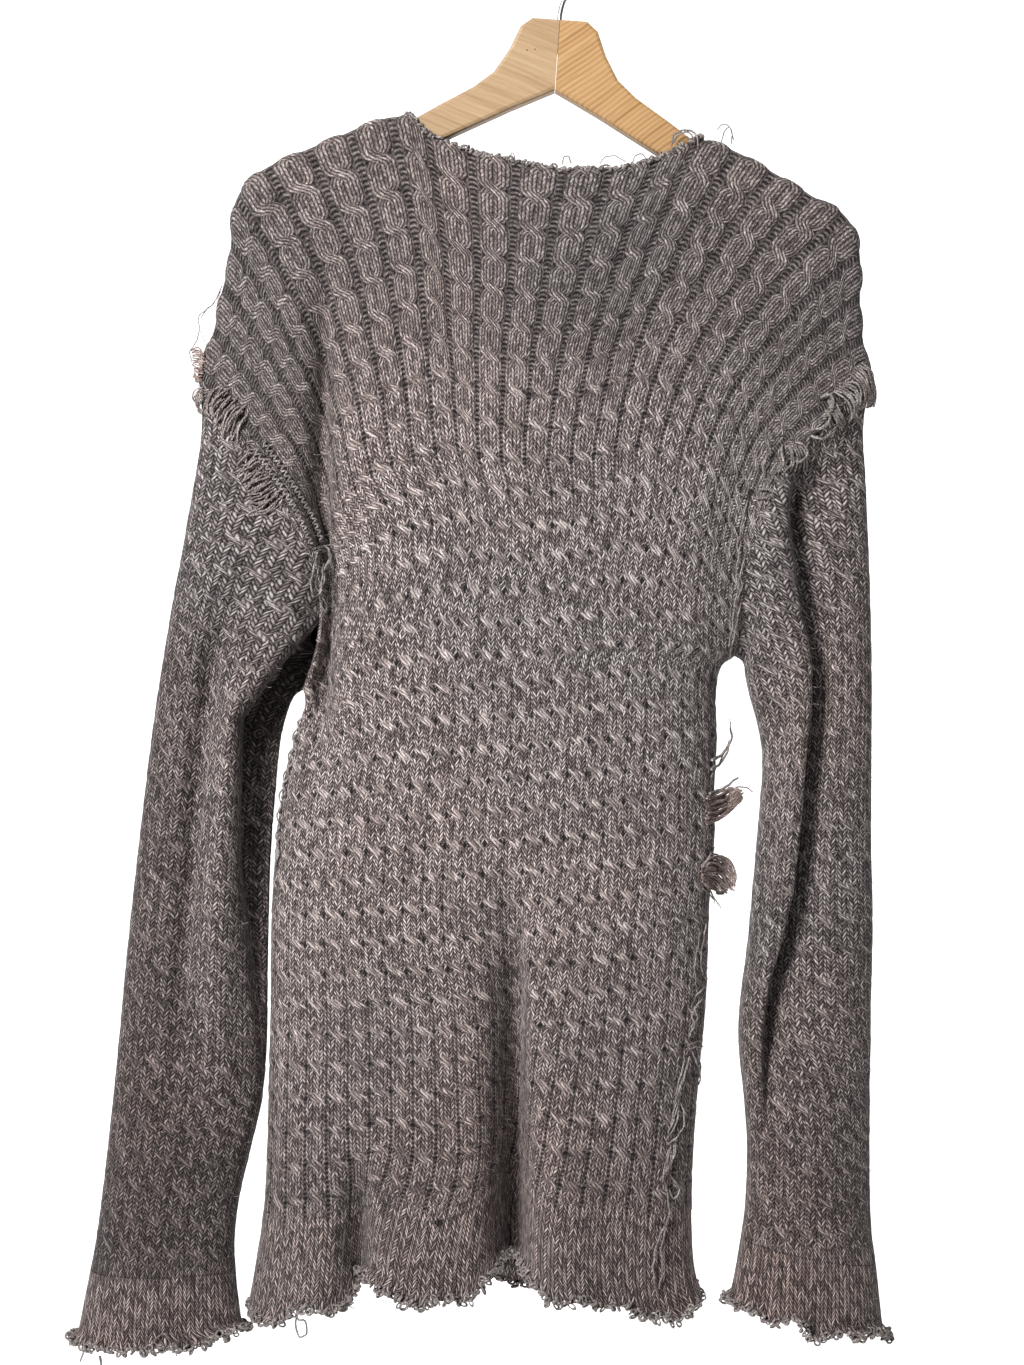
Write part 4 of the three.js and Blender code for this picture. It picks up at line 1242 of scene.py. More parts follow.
def swept_tree():
    tree, start, end = new_geometry_tree("swept_round", [
        ("Thickness", "Float", 1.0), ("Sides", "Int", 6), ("Finish", "Material", None)])
    f = Formula(tree)
    curve = f.new("GeometryNodeMeshToCurve", Mesh=start.outputs[0])
    curve = store(f, curve.outputs[0], "along", along_spline(f, "Length"))
    circle = f.new("GeometryNodeCurvePrimitiveCircle", Resolution=start.outputs["Sides"], Radius=1.0)
    ring = store(f, circle.outputs[0], "round", along_spline(f, "Factor"))
    thick = f.times(stored(f, "thick", "FLOAT"), start.outputs["Thickness"])
    sweep = f.new("GeometryNodeCurveToMesh", i0=curve, i1=ring, Scale=thick)
    sweep.inputs["Fill Caps"].default_value = True
    finish_tree(f, sweep.outputs[0], start.outputs["Finish"], end, smooth=True)
    return tree


swept_round = swept_tree()

# %% [markdown]
# Loose yarn is the same marled wool as the cloth, with its two plies plain to see: the groove between
# them is painted shade. Where it has been rubbed open at the side seams it is pinker and browner, so the
# material mixes two wools by an attribute that each strand carries.

# %% Materials: loose yarn
def yarn_material():
    made, tree, shader = material("loose_wool")
    f = Formula(tree)
    along, around = attribute(tree, "along"), attribute(tree, "round")
    twist = f.do("FRACT", f.add(f.times(around, 2.0), f.times(along, 420.0)))
    ply = f.do("SQRT", f.do("SINE", f.times(twist, math.pi)))
    tone = f.between(noise(f, 900.0, 2.0), noise(f, 160.0, 2.0), 0.4)
    grey = colour_ramp(f, tone, [
        (0.3, (0.060, 0.049, 0.046)), (0.5, (0.230, 0.198, 0.188)), (0.7, (0.560, 0.510, 0.490))])
    brown = colour_ramp(f, tone, [
        (0.3, (0.085, 0.050, 0.041)), (0.5, (0.250, 0.172, 0.150)), (0.7, (0.560, 0.460, 0.425))])
    yarn = mix_colours(f, "MIX", attribute(tree, "brown"), grey, brown)
    # Painted shade: the wool is darker between the two plies.
    tree.links.new(shaded(f, yarn, f.between(0.35, 1.0, ply)), shader.inputs["Base Color"])
    tree.links.new(f.between(0.95, 0.8, ply), shader.inputs["Roughness"])
    add_bump(f, shader, ply, 0.8, 0.0004)
    shader.inputs["Specular IOR Level"].default_value = 0.2
    return made


loose_wool = yarn_material()

# %% [markdown]
# The left armhole, from the top: a thin strand hangs clear of the shoulder down to a brown tuft. Below it
# two rows of parallel darning strands slant across the seam, two rows of stitches run down beside it,
# and a knot of long loops hangs at the bottom.

# %% Loose yarn at the left armhole
left_armhole_yarn = [
    strand([[-235.5, -249, 1], [-240.5, -259.5, 2], [-246, -265, 2], [-251.5, -269.5, 2], [-251.5, -279, 2],
            [-253, -285.5, 2], [-256, -291, 2], [-258, -295, 2], [-257, -302, 2]], 0.38),
    strand([[-236, -253, 1], [-240, -260, 2.5], [-246.5, -266, 2.5], [-250.5, -271, 2]], 0.3),
    strand([[-251.5, -279, 2], [-247.5, -286.5, 2], [-245.5, -295, 1]], 0.22),
    strand([[-166.5, -433, 3], [-163, -430, 6], [-158, -430.5, 8], [-152.5, -429.5, 7], [-149, -430.5, 4]],
           0.4),
    strand([[-168.5, -433, 3], [-163, -431, 7], [-159.5, -434, 8], [-158.5, -439.5, 7], [-161.5, -447, 4]],
           0.75),
    strand([[-168.5, -436, 3], [-165, -434, 6], [-161, -435.5, 7], [-159.5, -440, 7], [-163.5, -448.5, 4]],
           0.75),
    strand([[-167, -436, 3], [-169, -447, 6], [-170.5, -456.5, 7], [-170, -463.5, 7], [-167, -466, 7],
            [-164.5, -462, 7], [-163.5, -454, 7], [-163.5, -443, 4]], 0.7),
    strand([[-166, -438, 3], [-167, -451.5, 5], [-168, -459, 6], [-166, -462.5, 6], [-163.5, -459.5, 6],
            [-162, -449.5, 4]], 0.65),
    strand([[-165, -462, 3], [-163, -467.5, 5], [-161, -472.5, 5], [-162, -476.5, 5], [-164.5, -473, 5],
            [-165, -467, 3]], 0.75),
    chain([[-205, -359, 2.2], [-193, -376, 2.2], [-181, -393.5, 2.2], [-171, -411, 2.2],
           [-165, -427.5, 2.2]], 4.2, 1.7,
          radius=0.75),
    chain([[-210, -365, 2.2], [-198, -382, 2.2], [-186, -399.5, 2.2], [-177, -416, 2.2], [-171, -430, 2.2]],
          4.2, 1.7,
          radius=0.75),
]
left_armhole_yarn += row_of_strands(
    [[-247.5, -297, 1], [-252, -292, 2.5], [-257, -293.5, 3]],
    [[-249.5, -316, 1], [-253, -317, 2.5], [-254.5, -313, 3]],
    26, radius=0.6, taper=0.4, brown=0.9)
left_armhole_yarn += row_of_strands(
    [[-248.5, -319, 1], [-254, -322, 2], [-256, -327, 2], [-252, -331, 1]],
    [[-247.5, -328, 1], [-250, -331, 2], [-251.5, -336, 2], [-248, -338.5, 1]], 12, radius=0.5, brown=0.3)
left_armhole_yarn += row_of_strands(
    [[-247, -334, 0.2], [-243, -324, 2.2], [-234, -317, 0.2]],
    [[-226, -360, 0.2], [-221, -349, 2.4], [-213, -338, 0.2]],
    26, stray=1.5, uneven=0.4, radius=0.7, brown=0.2)
left_armhole_yarn += row_of_strands(
    [[-221, -376, 0.2], [-216, -369, 2.2], [-209, -364, 0.2]],
    [[-212, -411, 0.2], [-202, -408, 2.6], [-188, -399, 0.2]],
    28, stray=1.8, uneven=0.4, radius=0.7, brown=0.2)
print("left armhole:", len(left_armhole_yarn), "strands")

# %% [markdown]
# The right armhole has come further apart. A flap of parallel strands curves over the end of the shoulder,
# rounder ones follow inside it, and thick loops hang along the seam. Fine strands run on down to the
# underarm.

# %% Loose yarn at the right armhole
right_armhole_yarn = [
    strand([[179.5, -328.5, 3], [184, -327, 7], [187, -332.5, 8], [185.5, -338, 7], [181, -341.5, 3]], 1.0),
    strand([[182, -338, 3], [184, -343.5, 7], [182, -348.5, 8], [177, -351, 7], [172, -352, 3]], 1.0),
    strand([[184, -346.5, 3], [185.5, -352.5, 7], [181.5, -357, 8], [176, -358, 7], [171, -355.5, 3]], 0.95),
    strand([[161, -360, 3], [166.5, -363, 6], [168.5, -369.5, 7], [163, -374, 6], [156.5, -371.5, 3]], 0.9),
    strand([[152, -362, 2], [151, -370, 6], [152, -376, 6], [148.5, -380.5, 2]], 0.8),
    strand([[145, -367, 2], [140.5, -370.5, 6], [138.5, -377, 6], [139.5, -383.5, 2]], 0.8),
    strand([[125.5, -385.5, 2], [120.5, -390, 4], [121, -395.5, 5], [126.5, -396.5, 4], [129, -391, 2]], 0.7),
    strand([[136, -392.5, 2], [141.5, -393, 4], [144.5, -396, 5], [139.5, -398.5, 4], [134, -399, 2]], 0.7),
    strand([[128, -400.5, 2], [125, -411, 4], [123, -421, 4], [120.5, -433, 2]], 0.6),
    strand([[123.5, -428, 2], [121, -441, 4], [120, -452, 4], [122.5, -463, 2]], 0.6),
    strand([[126, -440, 2], [123, -450, 4], [124, -460, 4], [120, -470, 2]], 0.5),
    strand([[121.5, -460, 2], [118.5, -475, 4], [117.5, -488, 4], [115.5, -500, 2]], 0.55),
    strand([[124, -470, 2], [121, -482, 4], [119, -494, 4], [117, -505, 2]], 0.5),
]
right_armhole_yarn += row_of_strands(
    [[209, -303, 1], [215, -308.5, 3], [218.8, -318, 3], [219.5, -326, 3], [217.5, -333, 2]],
    [[200, -311, 1], [205.5, -316, 4], [209.5, -322, 5], [210.5, -329, 5], [208, -334.5, 2]], 7, stray=0.3,
    radius=0.8,
    brown=0.15)
right_armhole_yarn += row_of_strands(
    [[196, -318, 1], [202, -318.5, 5], [206.5, -323.5, 6], [207.5, -330, 5], [205.5, -336, 1]],
    [[188.5, -324, 1], [194.5, -328.5, 5], [199.5, -334, 6], [201.5, -340, 5], [199.5, -345, 1]], 7,
    radius=0.8)
right_armhole_yarn += row_of_strands(
    [[187, -329, 1], [189.5, -335, 5], [193, -341, 5], [197, -345, 1]],
    [[184, -331, 1], [185.5, -339, 5], [189, -346, 5], [194, -349, 1]], 5, radius=0.8)
right_armhole_yarn += row_of_strands(
    [[163, -361.5, 1], [167, -366.5, 4], [170, -372, 4], [171, -378, 1]],
    [[156, -363, 1], [157.5, -369, 4], [156.5, -376, 4], [153, -381, 1]], 6, radius=0.65)
print("right armhole:", len(right_armhole_yarn), "strands")

# %% [markdown]
# Both side seams show their joining yarn. On the left it runs in and out along the edge. On the right
# there are a tall wisp, a spread tuft and a round one, and then strands that drift inwards down the
# front, across the rib and out at the hem.

# %% Loose yarn at the sides
left_side_yarn = [
    chain([[-178.5, -545, 0.5], [-183.5, -562, 0.5], [-186.5, -580.5, 0.5], [-190, -592, 0.5],
           [-193, -604.5, 0.5]],
          11.0, 1.5, radius=0.9),
    chain([[-193.5, -604.5, 0.5], [-194.5, -618, 0.5], [-195.5, -634, 0.5], [-196.5, -652, 0.5]], 12.0, 1.2,
          radius=0.8),
    chain([[-183, -552, 1.5], [-188.5, -578, 1.5], [-194.5, -606, 1.5], [-196.5, -640, 1.5]], 14.0, 1.3,
          radius=0.6),
]
right_side_yarn = [
    strand([[104.5, -578.5, 1], [112, -575.5, 1], [117.5, -568.5, 1], [119.8, -562, 1], [118.8, -555.5, 1],
            [118, -550, 1]], 1.1, taper=0.8),
    strand([[104, -585, 1], [112.5, -580, 1], [117, -571, 1], [119.3, -563.5, 1], [118.5, -557, 1]], 1.0,
           taper=0.75),
    strand([[104, -590, 1], [110, -582, 1], [115, -573, 1], [118.5, -564, 1]], 0.6, taper=0.6),
    strand([[103, -601.5, 1], [110, -600.5, 1.5], [116.5, -597, 1.5], [124, -591, 1]], 1.1, taper=0.4),
    strand([[104, -609, 1], [114, -603.5, 1.5], [121.5, -599, 1.5], [127, -597.5, 1], [133.5, -600.5, 1]],
           0.9, taper=0.5),
    strand([[97, -655, 1.5], [101.5, -648, 2], [107.5, -640, 1]], 0.65),
    strand([[99, -664, 1], [105, -671.5, 2], [108.5, -677, 2], [112.5, -683, 1]], 0.75, taper=0.7),
    strand([[98, -667, 1], [103.5, -672, 2], [108.5, -679, 1]], 0.7, taper=0.6),
]
right_side_yarn += row_of_strands(
    [[102, -603, 1], [112, -602, 2], [119, -599, 2], [125.5, -599, 1]],
    [[101, -622, 1], [112, -619.5, 2], [120, -612.5, 2], [127, -603, 1]], 46, stray=0.8, uneven=0.16,
    radius=0.75, taper=0.35, brown=0.7)
right_side_yarn += row_of_strands(
    [[97.5, -650, 1], [106.5, -645, 3], [115, -647, 3], [120, -655.5, 2], [121.5, -668, 1]],
    [[98, -663, 1], [102, -666, 3], [107.5, -669, 3], [111.5, -671, 2], [116, -672, 1]], 48, stray=0.9,
    uneven=0.12,
    radius=0.75, taper=0.25, brown=0.6)
right_side_floats_yarn = [
    strand([[101, -692, 1], [98.5, -703, 2], [96.5, -714, 2], [98, -727, 1]], 0.6),
    strand([[96, -697, 1], [94, -708, 2], [92, -719, 2], [93, -733, 1]], 0.55),
    strand([[101, -735, 1], [97, -737, 2.5], [92.5, -741, 1]], 0.6),
    strand([[97.5, -744, 1], [92, -748.5, 3], [94, -755.5, 3], [90, -761, 3], [92, -767, 1]], 0.7),
    strand([[95, -748, 1], [90, -753, 3], [91.5, -760, 3], [88, -768, 1]], 0.6),
    strand([[87, -774, 1], [92.5, -772.5, 3], [98, -774, 1]], 0.75),
    strand([[88, -776.5, 1], [93.5, -775.5, 3], [98, -777.5, 1]], 0.7),
    strand([[90, -777.5, 1], [92.5, -784.5, 3], [96, -791.5, 3], [97, -800, 1]], 0.65),
    strand([[94, -777.5, 1], [96, -786, 3], [97, -794, 3], [96.5, -805, 1]], 0.6),
    strand([[88.5, -782, 1], [85, -793, 3], [81.5, -802.5, 3], [80.5, -812, 1]], 0.7),
    strand([[81.5, -812, 1], [84.5, -821.5, 4], [83.5, -829.5, 5], [78.5, -836, 4], [72, -840.5, 1]], 0.6),
    strand([[78.5, -838, 1], [77.5, -847.5, 3], [74, -856, 3], [70, -865, 1]], 0.75),
    strand([[74, -861, 1], [78.5, -867, 3], [81.5, -873, 3], [77, -878, 3], [74, -872, 1]], 0.7),
    strand([[71, -866, 1], [73, -878, 3], [73.5, -890.5, 3], [69.5, -897.5, 3], [64.5, -908.5, 3],
            [62.5, -923.5, 3],
            [64, -937, 1]], 0.75),
    strand([[73, -890, 1], [71, -899, 3], [68, -910.5, 3], [69, -925, 3], [66.5, -938, 1]], 0.7),
]
right_side_floats_yarn += row_of_strands(
    [[85, -784, 1], [82, -795, 2.5], [79, -806, 2.5], [79, -818, 1]],
    [[80, -806, 1], [80, -818, 3], [77, -828, 3], [71, -838, 1]], 5, radius=0.55)
right_side_floats_yarn += row_of_strands(
    [[77, -840, 1], [75.5, -850, 3], [71.5, -860, 3], [68.5, -866, 1]],
    [[73, -843, 1], [72, -852, 3], [69.5, -860, 3], [67, -864, 1]], 4, radius=0.6)
print("sides:", len(left_side_yarn) + len(right_side_yarn) + len(right_side_floats_yarn), "strands")

# %% Sweeping the strands
yarns = {}
for name, strands in (
    ("left_armhole_fringe", left_armhole_yarn), ("right_armhole_fringe", right_armhole_yarn),
    ("left_side_fringe", left_side_yarn), ("right_side_fringe", right_side_yarn),
    ("right_side_floats", right_side_floats_yarn)):
    made = yarn_lines(name + "_yarn", strands)
    apply_tree(made, swept_round, Sides=6, Finish=loose_wool)
    yarns[name] = made
    print(made.name, "has", len(made.data.polygons), "faces")

# %% [markdown]
# The raw edges are full of small loops, where stitches have slipped off the last row. They follow the
# neck, the hem and both cuffs, so they are scattered along those edges by one tree: it spaces points
# along each edge, puts a small loop of yarn on each, and turns and sizes every loop by a seeded random.

# %% Geometry Nodes: loops along a raw edge
def random_between(f, kind, low, high, seed):
    node = f.tree.nodes.new("FunctionNodeRandomValue")
    node.data_type = kind
    first = 0 if kind == "FLOAT_VECTOR" else 2
    f.put(node, **{f"i{first}": low, f"i{first + 1}": high}, Seed=seed)
    return node.outputs[0 if kind == "FLOAT_VECTOR" else 1]


def random_turn(f, low, high, seed):
    turn = random_between(f, "FLOAT_VECTOR", low, high, seed)
    return f.new("FunctionNodeEulerToRotation", i0=turn).outputs[0]


def edge_loops_tree():
    tree, start, end = new_geometry_tree("edge_loops", [
        ("Spacing", "Float", 0.0024), ("Loop size", "Float", 0.0017), ("Yarn", "Float", 0.0005),
        ("Scatter", "Float", 0.0012), ("Seed", "Int", 3), ("Wool", "Material", None)])
    f = Formula(tree)
    given = start.outputs
    edge = f.new("GeometryNodeMeshToCurve", Mesh=given[0])
    spaced = tree.nodes.new("GeometryNodeResampleCurve")
    spaced.mode = "LENGTH"
    f.put(spaced, Curve=edge.outputs[0], Length=given["Spacing"])
    aside = random_between(f, "FLOAT_VECTOR", (-1, -1, -1), (1, 1, 1), given["Seed"])
    scattered = f.new("GeometryNodeSetPosition", Geometry=spaced.outputs[0],
                      Offset=f.scaled(aside, given["Scatter"]))
    loop = f.new("GeometryNodeCurvePrimitiveCircle", Resolution=9, Radius=given["Loop size"])
    loop = store(f, loop.outputs[0], "along", along_spline(f, "Length"))
    yarn = f.new("GeometryNodeCurvePrimitiveCircle", Resolution=5, Radius=given["Yarn"])
    yarn = store(f, yarn.outputs[0], "round", along_spline(f, "Factor"))
    small = f.new("GeometryNodeCurveToMesh", i0=loop, i1=yarn)
    turn = random_turn(f, (-0.9, -1.2, -3.1), (0.9, 1.2, 3.1), f.add(given["Seed"], 1))
    size = random_between(f, "FLOAT_VECTOR", (0.6, 0.5, 0.7), (1.3, 1.2, 1.5), f.add(given["Seed"], 2))
    placed = f.new("GeometryNodeInstanceOnPoints", Points=scattered.outputs[0],
                   Instance=small.outputs[0], Rotation=turn, Scale=size)
    finish_tree(f, placed.outputs[0], given["Wool"], end, smooth=True)
    return tree


edge_loops = edge_loops_tree()

# %% Loops on the neck, hem and cuffs
def edge_line(name, row, first=0.0, last=1.0, closed=False):
    """The outer edge of a piece's first or last row, between two shares of its width."""
    points = pieces[name]["grid"][row] + pieces[name]["normals"][row] * OUTER_LIFT
    count = len(points)
    points = points[round(first * (count - 1)):round(last * (count - 1)) + 1]
    if closed:
        points = np.vstack([points, points[:1]])
    return points, np.full(len(points), 0.5), np.zeros(len(points))


def neck_shares(columns):
    """Where the neck starts and ends, as shares of the number of columns."""
    return np.searchsorted(columns, [NECK_FROM, NECK_TO]) / (len(columns) - 1)


raw_edges = {
    "neck_loops": [edge_line("front_panel", 0, *neck_shares(front_columns)),
                   edge_line("back_panel", 0, *(1 - neck_shares(back_columns)[::-1]))],
    "hem_loops": [edge_line("front_hem_rib", -1), edge_line("back_hem_rib", -1)],
    "left_cuff_loops": [edge_line("left_cuff", -1, closed=True)],
    "right_cuff_loops": [edge_line("right_cuff", -1, closed=True)],
}
NECK_LOOK = {"Spacing": 0.0017, "Loop_size": 0.0018, "Scatter": 0.0012}
HEM_LOOK = {"Spacing": 0.0016, "Loop_size": 0.0024, "Scatter": 0.0024}
for seed, (name, edges) in enumerate(raw_edges.items()):
    made = yarn_lines(name, edges)
    look = NECK_LOOK if name == "neck_loops" else HEM_LOOK
    apply_tree(made, edge_loops, Seed=5 * seed + 2, Wool=loose_wool, Yarn=0.0008, **look)
    yarns[name] = made
    print(made.name, "has", len(made.data.polygons), "faces")

# %% [markdown]
# A few long stitches have pulled right out of the raw edges: one big loop and some thin ones at the neck,
# a ring and a tail at the hem, and tails at the left cuff. They are placed one by one.

# %% Pulled loops and tails
pulled = [
    strand([[77, -152.5, 1], [78.5, -146, 2], [84, -142.5, 2], [90.5, -142.5, 2], [94.5, -146.5, 2],
            [96, -153, 1]], 0.7),
    strand([[78, -151, 2], [83, -145, 3], [89, -144, 3], [93.5, -149.5, 2]], 0.6),
    strand([[74.5, -164, 1], [76, -158.5, 1.5], [79.5, -155, 1.5], [83, -151, 1]], 0.25),
    strand([[112, -149.5, 1], [114, -142, 3], [117.5, -138.5, 3], [119.5, -143, 3], [119.5, -150, 1]], 0.45),
    strand([[109.5, -140, 2], [113, -136.5, 4], [118, -139, 4], [121, -148, 2]], 0.35),
    strand([[49.5, -167, 1], [51.5, -160.5, 1.5], [55.5, -158.8, 1.5], [58.8, -162, 1.5], [58, -168, 1]],
           0.42),
    strand([[27, -166.5, 1], [31, -161.5, 1.5], [39, -161, 1.5], [45, -165, 1]], 0.35),
    strand([[1.5, -167, 1], [2.2, -161.5, 1.5], [5.2, -161, 1.5], [7.5, -166, 1]], 0.45),
    strand([[-36, -164, 1], [-33.5, -158.5, 1.5], [-31, -163, 1]], 0.4),
    strand([[-179.5, -950, 1], [-178, -956, 1.5], [-174, -956.5, 1.5], [-172, -961, 1.5],
            [-173.5, -966.5, 1.5],
            [-177.5, -968.5, 1.5], [-180, -964, 1.5], [-179.5, -954, 1]], 0.65),
    strand([[-152, -945, 1], [-146, -948, 2], [-140.5, -950.5, 2]], 0.5, taper=0.5),
    strand([[-327, -980, 1], [-328.5, -986, 1.5], [-330, -991, 1.5]], 0.8, taper=0.3),
    strand([[-316, -986, 1], [-314.5, -992, 1.5], [-313, -997.5, 1.5]], 0.9, taper=0.3),
    strand([[-285, -985, 1], [-278, -975, 3], [-272, -970, 4], [-266, -977, 2], [-262, -985, 1]], 0.4),
]
made = yarn_lines("pulled_loops", pulled)
apply_tree(made, swept_round, Sides=6, Finish=loose_wool)
yarns["pulled_loops"] = made
print(len(pulled), "pulled loops and tails")

# %% [markdown]
# Worn wool is hairy. One more tree scatters short bent fibres over the outer skin of every piece and
# stands them on it, each turned and sized by a seeded random. They blur the outline as real fuzz does.
# A fibre is a three-sided sweep of three short steps, because there are thousands of them.

# %% Geometry Nodes: stray fibres
def stray_fibres_tree():
    tree, start, end = new_geometry_tree("stray_fibres", [
        ("Density", "Float", 6500.0), ("Fibre", "Float", 0.0035), ("Thickness", "Float", 0.00009),
        ("Seed", "Int", 5), ("Wool", "Material", None)])
    f = Formula(tree)
    given = start.outputs
    spread_out = tree.nodes.new("GeometryNodeDistributePointsOnFaces")
    f.put(spread_out, Mesh=given[0], Density=given["Density"], Seed=given["Seed"])
    f.put(spread_out, Selection=f.do("GREATER_THAN", stored(f, "outside", "FLOAT"), 0.5))
    fibre = f.new("GeometryNodeCurveQuadraticBezier", Resolution=3,
                  Start=(0, 0, -0.1), Middle=(0.1, 0.35, 0.5), End=(0.75, 0.2, 0.8))
    thin = f.new("GeometryNodeCurvePrimitiveCircle", Resolution=3,
                 Radius=f.do("DIVIDE", given["Thickness"], given["Fibre"]))
    hair = f.new("GeometryNodeCurveToMesh", i0=fibre.outputs[0], i1=thin.outputs[0])
    hair.inputs["Fill Caps"].default_value = True
    hair = store(f, hair.outputs[0], "round", 0.25)
    turned = tree.nodes.new("FunctionNodeRotateRotation")
    turned.rotation_space = "LOCAL"
    twist = random_turn(f, (-0.7, -0.7, -3.1), (0.7, 0.7, 3.1), f.add(given["Seed"], 1))
    f.put(turned, i0=spread_out.outputs["Rotation"], i1=twist)
    size = f.times(random_between(f, "FLOAT", 0.5, 1.5, f.add(given["Seed"], 2)), given["Fibre"])
    placed = f.new("GeometryNodeInstanceOnPoints", Points=spread_out.outputs[0],
                   Instance=hair, Rotation=turned.outputs[0], Scale=size)
    finish_tree(f, placed.outputs[0], given["Wool"], end)
    return tree


stray_fibres = stray_fibres_tree()
fuzz = {}
for seed, (name, piece) in enumerate(cloth.items()):
    made = bpy.data.objects.new(name + "_fuzz", piece.data.copy())
    scene.collection.objects.link(made)
    apply_tree(made, stray_fibres, Seed=40 + seed, Wool=loose_wool)
    fuzz[name] = made
    print(made.name, "has", len(made.data.polygons), "faces")

# %% [markdown]
# The hanger is two pieces of wood, cut from different boards. The left one is pale and close in grain, the
# right one is warmer, with dark lines that run along its arm. One shader group draws grain for both: long
# streaks, fine pores along them, and a slow change of tone. Each half turns it to follow its own arm.

# %% Shader group: wood grain
def grain_group():
    tree, given, result = new_shader_group(
        "wood_grain", [("Place", "Vector", None), ("Streaks", "Float", 1.0)],
        [("Tone", "Float", None), ("Pores", "Float", None)])
    f = Formula(tree)
    bend = f.new("ShaderNodeTexNoise", Vector=given["Place"], Scale=1.2, Detail=1.0)
    x, y, z = f.split(given["Place"])
    rings = f.do("SINE", f.add(f.times(z, 190.0), f.times(y, 60.0), f.times(bend.outputs[0], 30.0)))
    along_streaks = f.vector(f.times(x, 0.35), f.times(y, 9.0), f.times(z, 9.0))
    streaks = f.new("ShaderNodeTexNoise", Vector=along_streaks, Scale=3.0, Detail=3.0)
    along_pores = f.vector(f.times(x, 1.4), f.times(y, 22.0), f.times(z, 22.0))
    pores = f.new("ShaderNodeTexNoise", Vector=along_pores, Scale=4.0, Detail=2.0)
    tone = f.between(streaks.outputs[0], f.add(f.times(rings, 0.5), 0.5), f.times(given["Streaks"], 0.3))
    tree.links.new(tone, result["Tone"])
    tree.links.new(f.ramp(pores.outputs[0], 0.56, 0.7), result["Pores"])
    return tree


wood_grain = grain_group()


# %% Materials: pale wood, warm wood and steel
def wood_material(name, arm_angle, streaks, stops, pore_colour):
    """arm_angle is how far the arm slopes, in radians; the grain runs along it."""
    made, tree, shader = material(name)
    f = Formula(tree)
    turned = f.new("ShaderNodeMapping", i0=object_place(f), Rotation=(0, arm_angle, 0), Scale=(10, 10, 10))
    grain = tree.nodes.new("ShaderNodeGroup")
    grain.node_tree = wood_grain
    f.put(grain, Place=turned.outputs[0])
    grain.inputs["Streaks"].default_value = streaks
    wood = colour_ramp(f, grain.outputs["Tone"], stops)
    wood = mix_colours(f, "MIX", f.times(grain.outputs["Pores"], 0.35), wood, pore_colour)
    tree.links.new(wood, shader.inputs["Base Color"])
    tree.links.new(f.between(0.42, 0.6, grain.outputs["Pores"]), shader.inputs["Roughness"])
    add_bump(f, shader, grain.outputs["Tone"], 0.25, 0.0003)
    shader.inputs["Specular IOR Level"].default_value = 0.35
    return made, f, shader


PALE_STOPS = [(0.25, (0.262, 0.164, 0.084)), (0.5, (0.328, 0.217, 0.119)), (0.75, (0.378, 0.266, 0.154))]
WARM_STOPS = [(0.12, (0.184, 0.084, 0.027)), (0.4, (0.332, 0.185, 0.073)), (0.75, (0.424, 0.271, 0.130))]
pale_wood, pale_formula, pale_shader = wood_material("pale_wood", -0.40, 0.35, PALE_STOPS,
                                                     (0.22, 0.13, 0.06, 1))
warm_wood, _, _ = wood_material("warm_wood", 0.62, 0.9, WARM_STOPS, (0.21, 0.10, 0.035, 1))


def mark_nails(f, shader, places, radius):
    """Tiny dark nail heads, drawn where they sit on the face."""
    x, _, z = f.split(object_place(f))
    colour = shader.inputs["Base Color"].links[0].from_socket
    for nail_x, nail_z in places:
        dx, dz = f.less(x, nail_x * MM), f.less(z, nail_z * MM)
        near = f.do("LESS_THAN", f.add(f.times(dx, dx), f.times(dz, dz)), (radius * MM) ** 2)
        colour = mix_colours(f, "MIX", near, colour, (0.05, 0.04, 0.03, 1))
    f.tree.links.new(colour, shader.inputs["Base Color"])


mark_nails(pale_formula, pale_shader, [(-23, -84.5), (-17.5, -84)], 0.55)


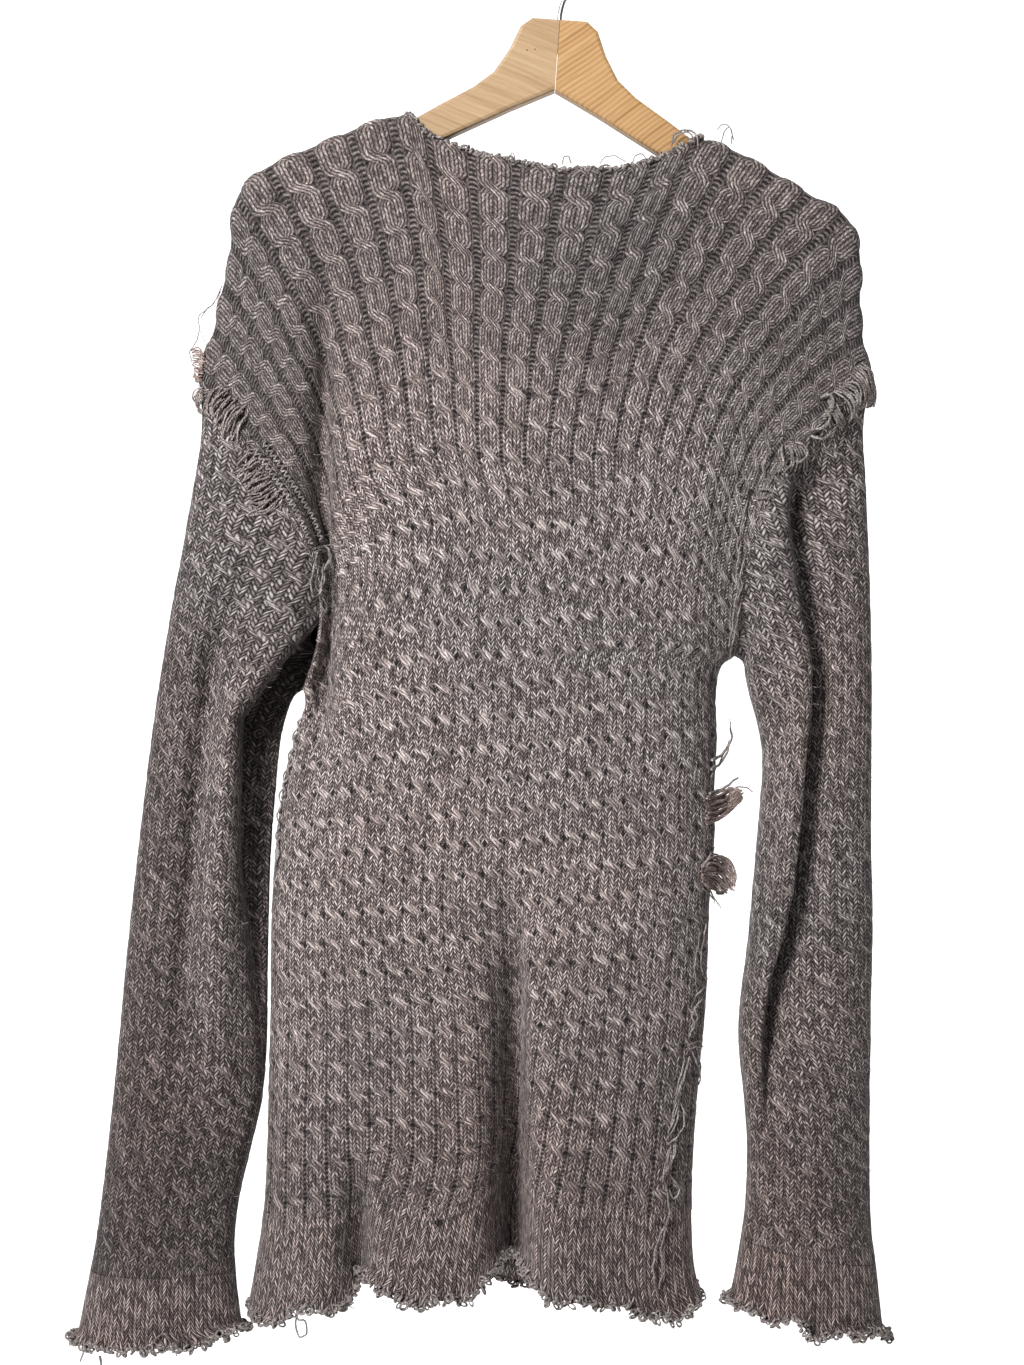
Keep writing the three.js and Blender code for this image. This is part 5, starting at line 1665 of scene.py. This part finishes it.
def steel_material():
    made, tree, shader = material("hook_steel")
    f = Formula(tree)
    scratches = noise(f, 700.0, 2.0, (1, 1, 0.1))
    tree.links.new(colour_ramp(f, scratches, [(0.3, (0.42, 0.43, 0.44)), (0.7, (0.62, 0.63, 0.65))]),
                   shader.inputs["Base Color"])
    tree.links.new(f.between(0.22, 0.42, scratches), shader.inputs["Roughness"])
    shader.inputs["Metallic"].default_value = 1.0
    return made


hook_steel = steel_material()

# %% The hanger's finish and its hook
for name, wood, slot in (
        ("hanger_left_half", pale_wood, "pale_wood"), ("hanger_right_half", warm_wood, "warm_wood")):
    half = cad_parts[name]
    half.data.materials.clear()
    half.data.materials.append(wood)

HANGER_TOP = -60
HANGER_TILT = 0.07
BORE_DEPTH = 26
WIRE_RADIUS = 1.7
HOOK_BEND = 22.7
HOOK_STEPS = 120
lean = math.sin(HANGER_TILT)
stem = [[up * lean, 0, HANGER_TOP + up] for up in (1 - BORE_DEPTH, -10, 4)] + [[3.5, 0, -47]]
bend = [[HOOK_BEND * math.cos(a), 0, WIRE_RADIUS - HOOK_BEND + HOOK_BEND * math.sin(a)]
        for a in np.radians(np.arange(-58, 209, 19))]
hook_points = np.stack(line(stem + bend)(np.linspace(0, 1, HOOK_STEPS)), -1)
hook = yarn_lines("hanger_hook_wire", [(hook_points, np.full(HOOK_STEPS, WIRE_RADIUS), np.zeros(HOOK_STEPS))])
apply_tree(hook, swept_round, Sides=16, Finish=hook_steel)
print("the hook's wire is", 2 * WIRE_RADIUS, "mm thick")

# %% [markdown]
# Last, every piece is tied to the frame: it rides on the frame's root, and the imported solid it stands
# for is hidden.

# %% Tie the pieces to the frame
SLOTS = {"panel": "cable_knit", "sleeve": "cable_knit", "rib": "rib_knit", "cuff": "rib_knit"}
FLAT = {
    "panel": (0.48, 0.72, 0.275), "rib": (0.32, 0.07, 0.0224),
    "sleeve": (0.24, 0.64, 0.135), "cuff": (0.23, 0.05, 0.0115),
}
for name, made in cloth.items():
    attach(made, "root")
    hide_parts(name)
    SLOTS[kind_of(name)]
    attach(fuzz[name], "root")
    width, length, area = FLAT[kind_of(name)]

for name, made in yarns.items():
    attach(made, "root")
    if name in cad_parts:
        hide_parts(name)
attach(hook, "root")
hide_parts("hanger_hook")
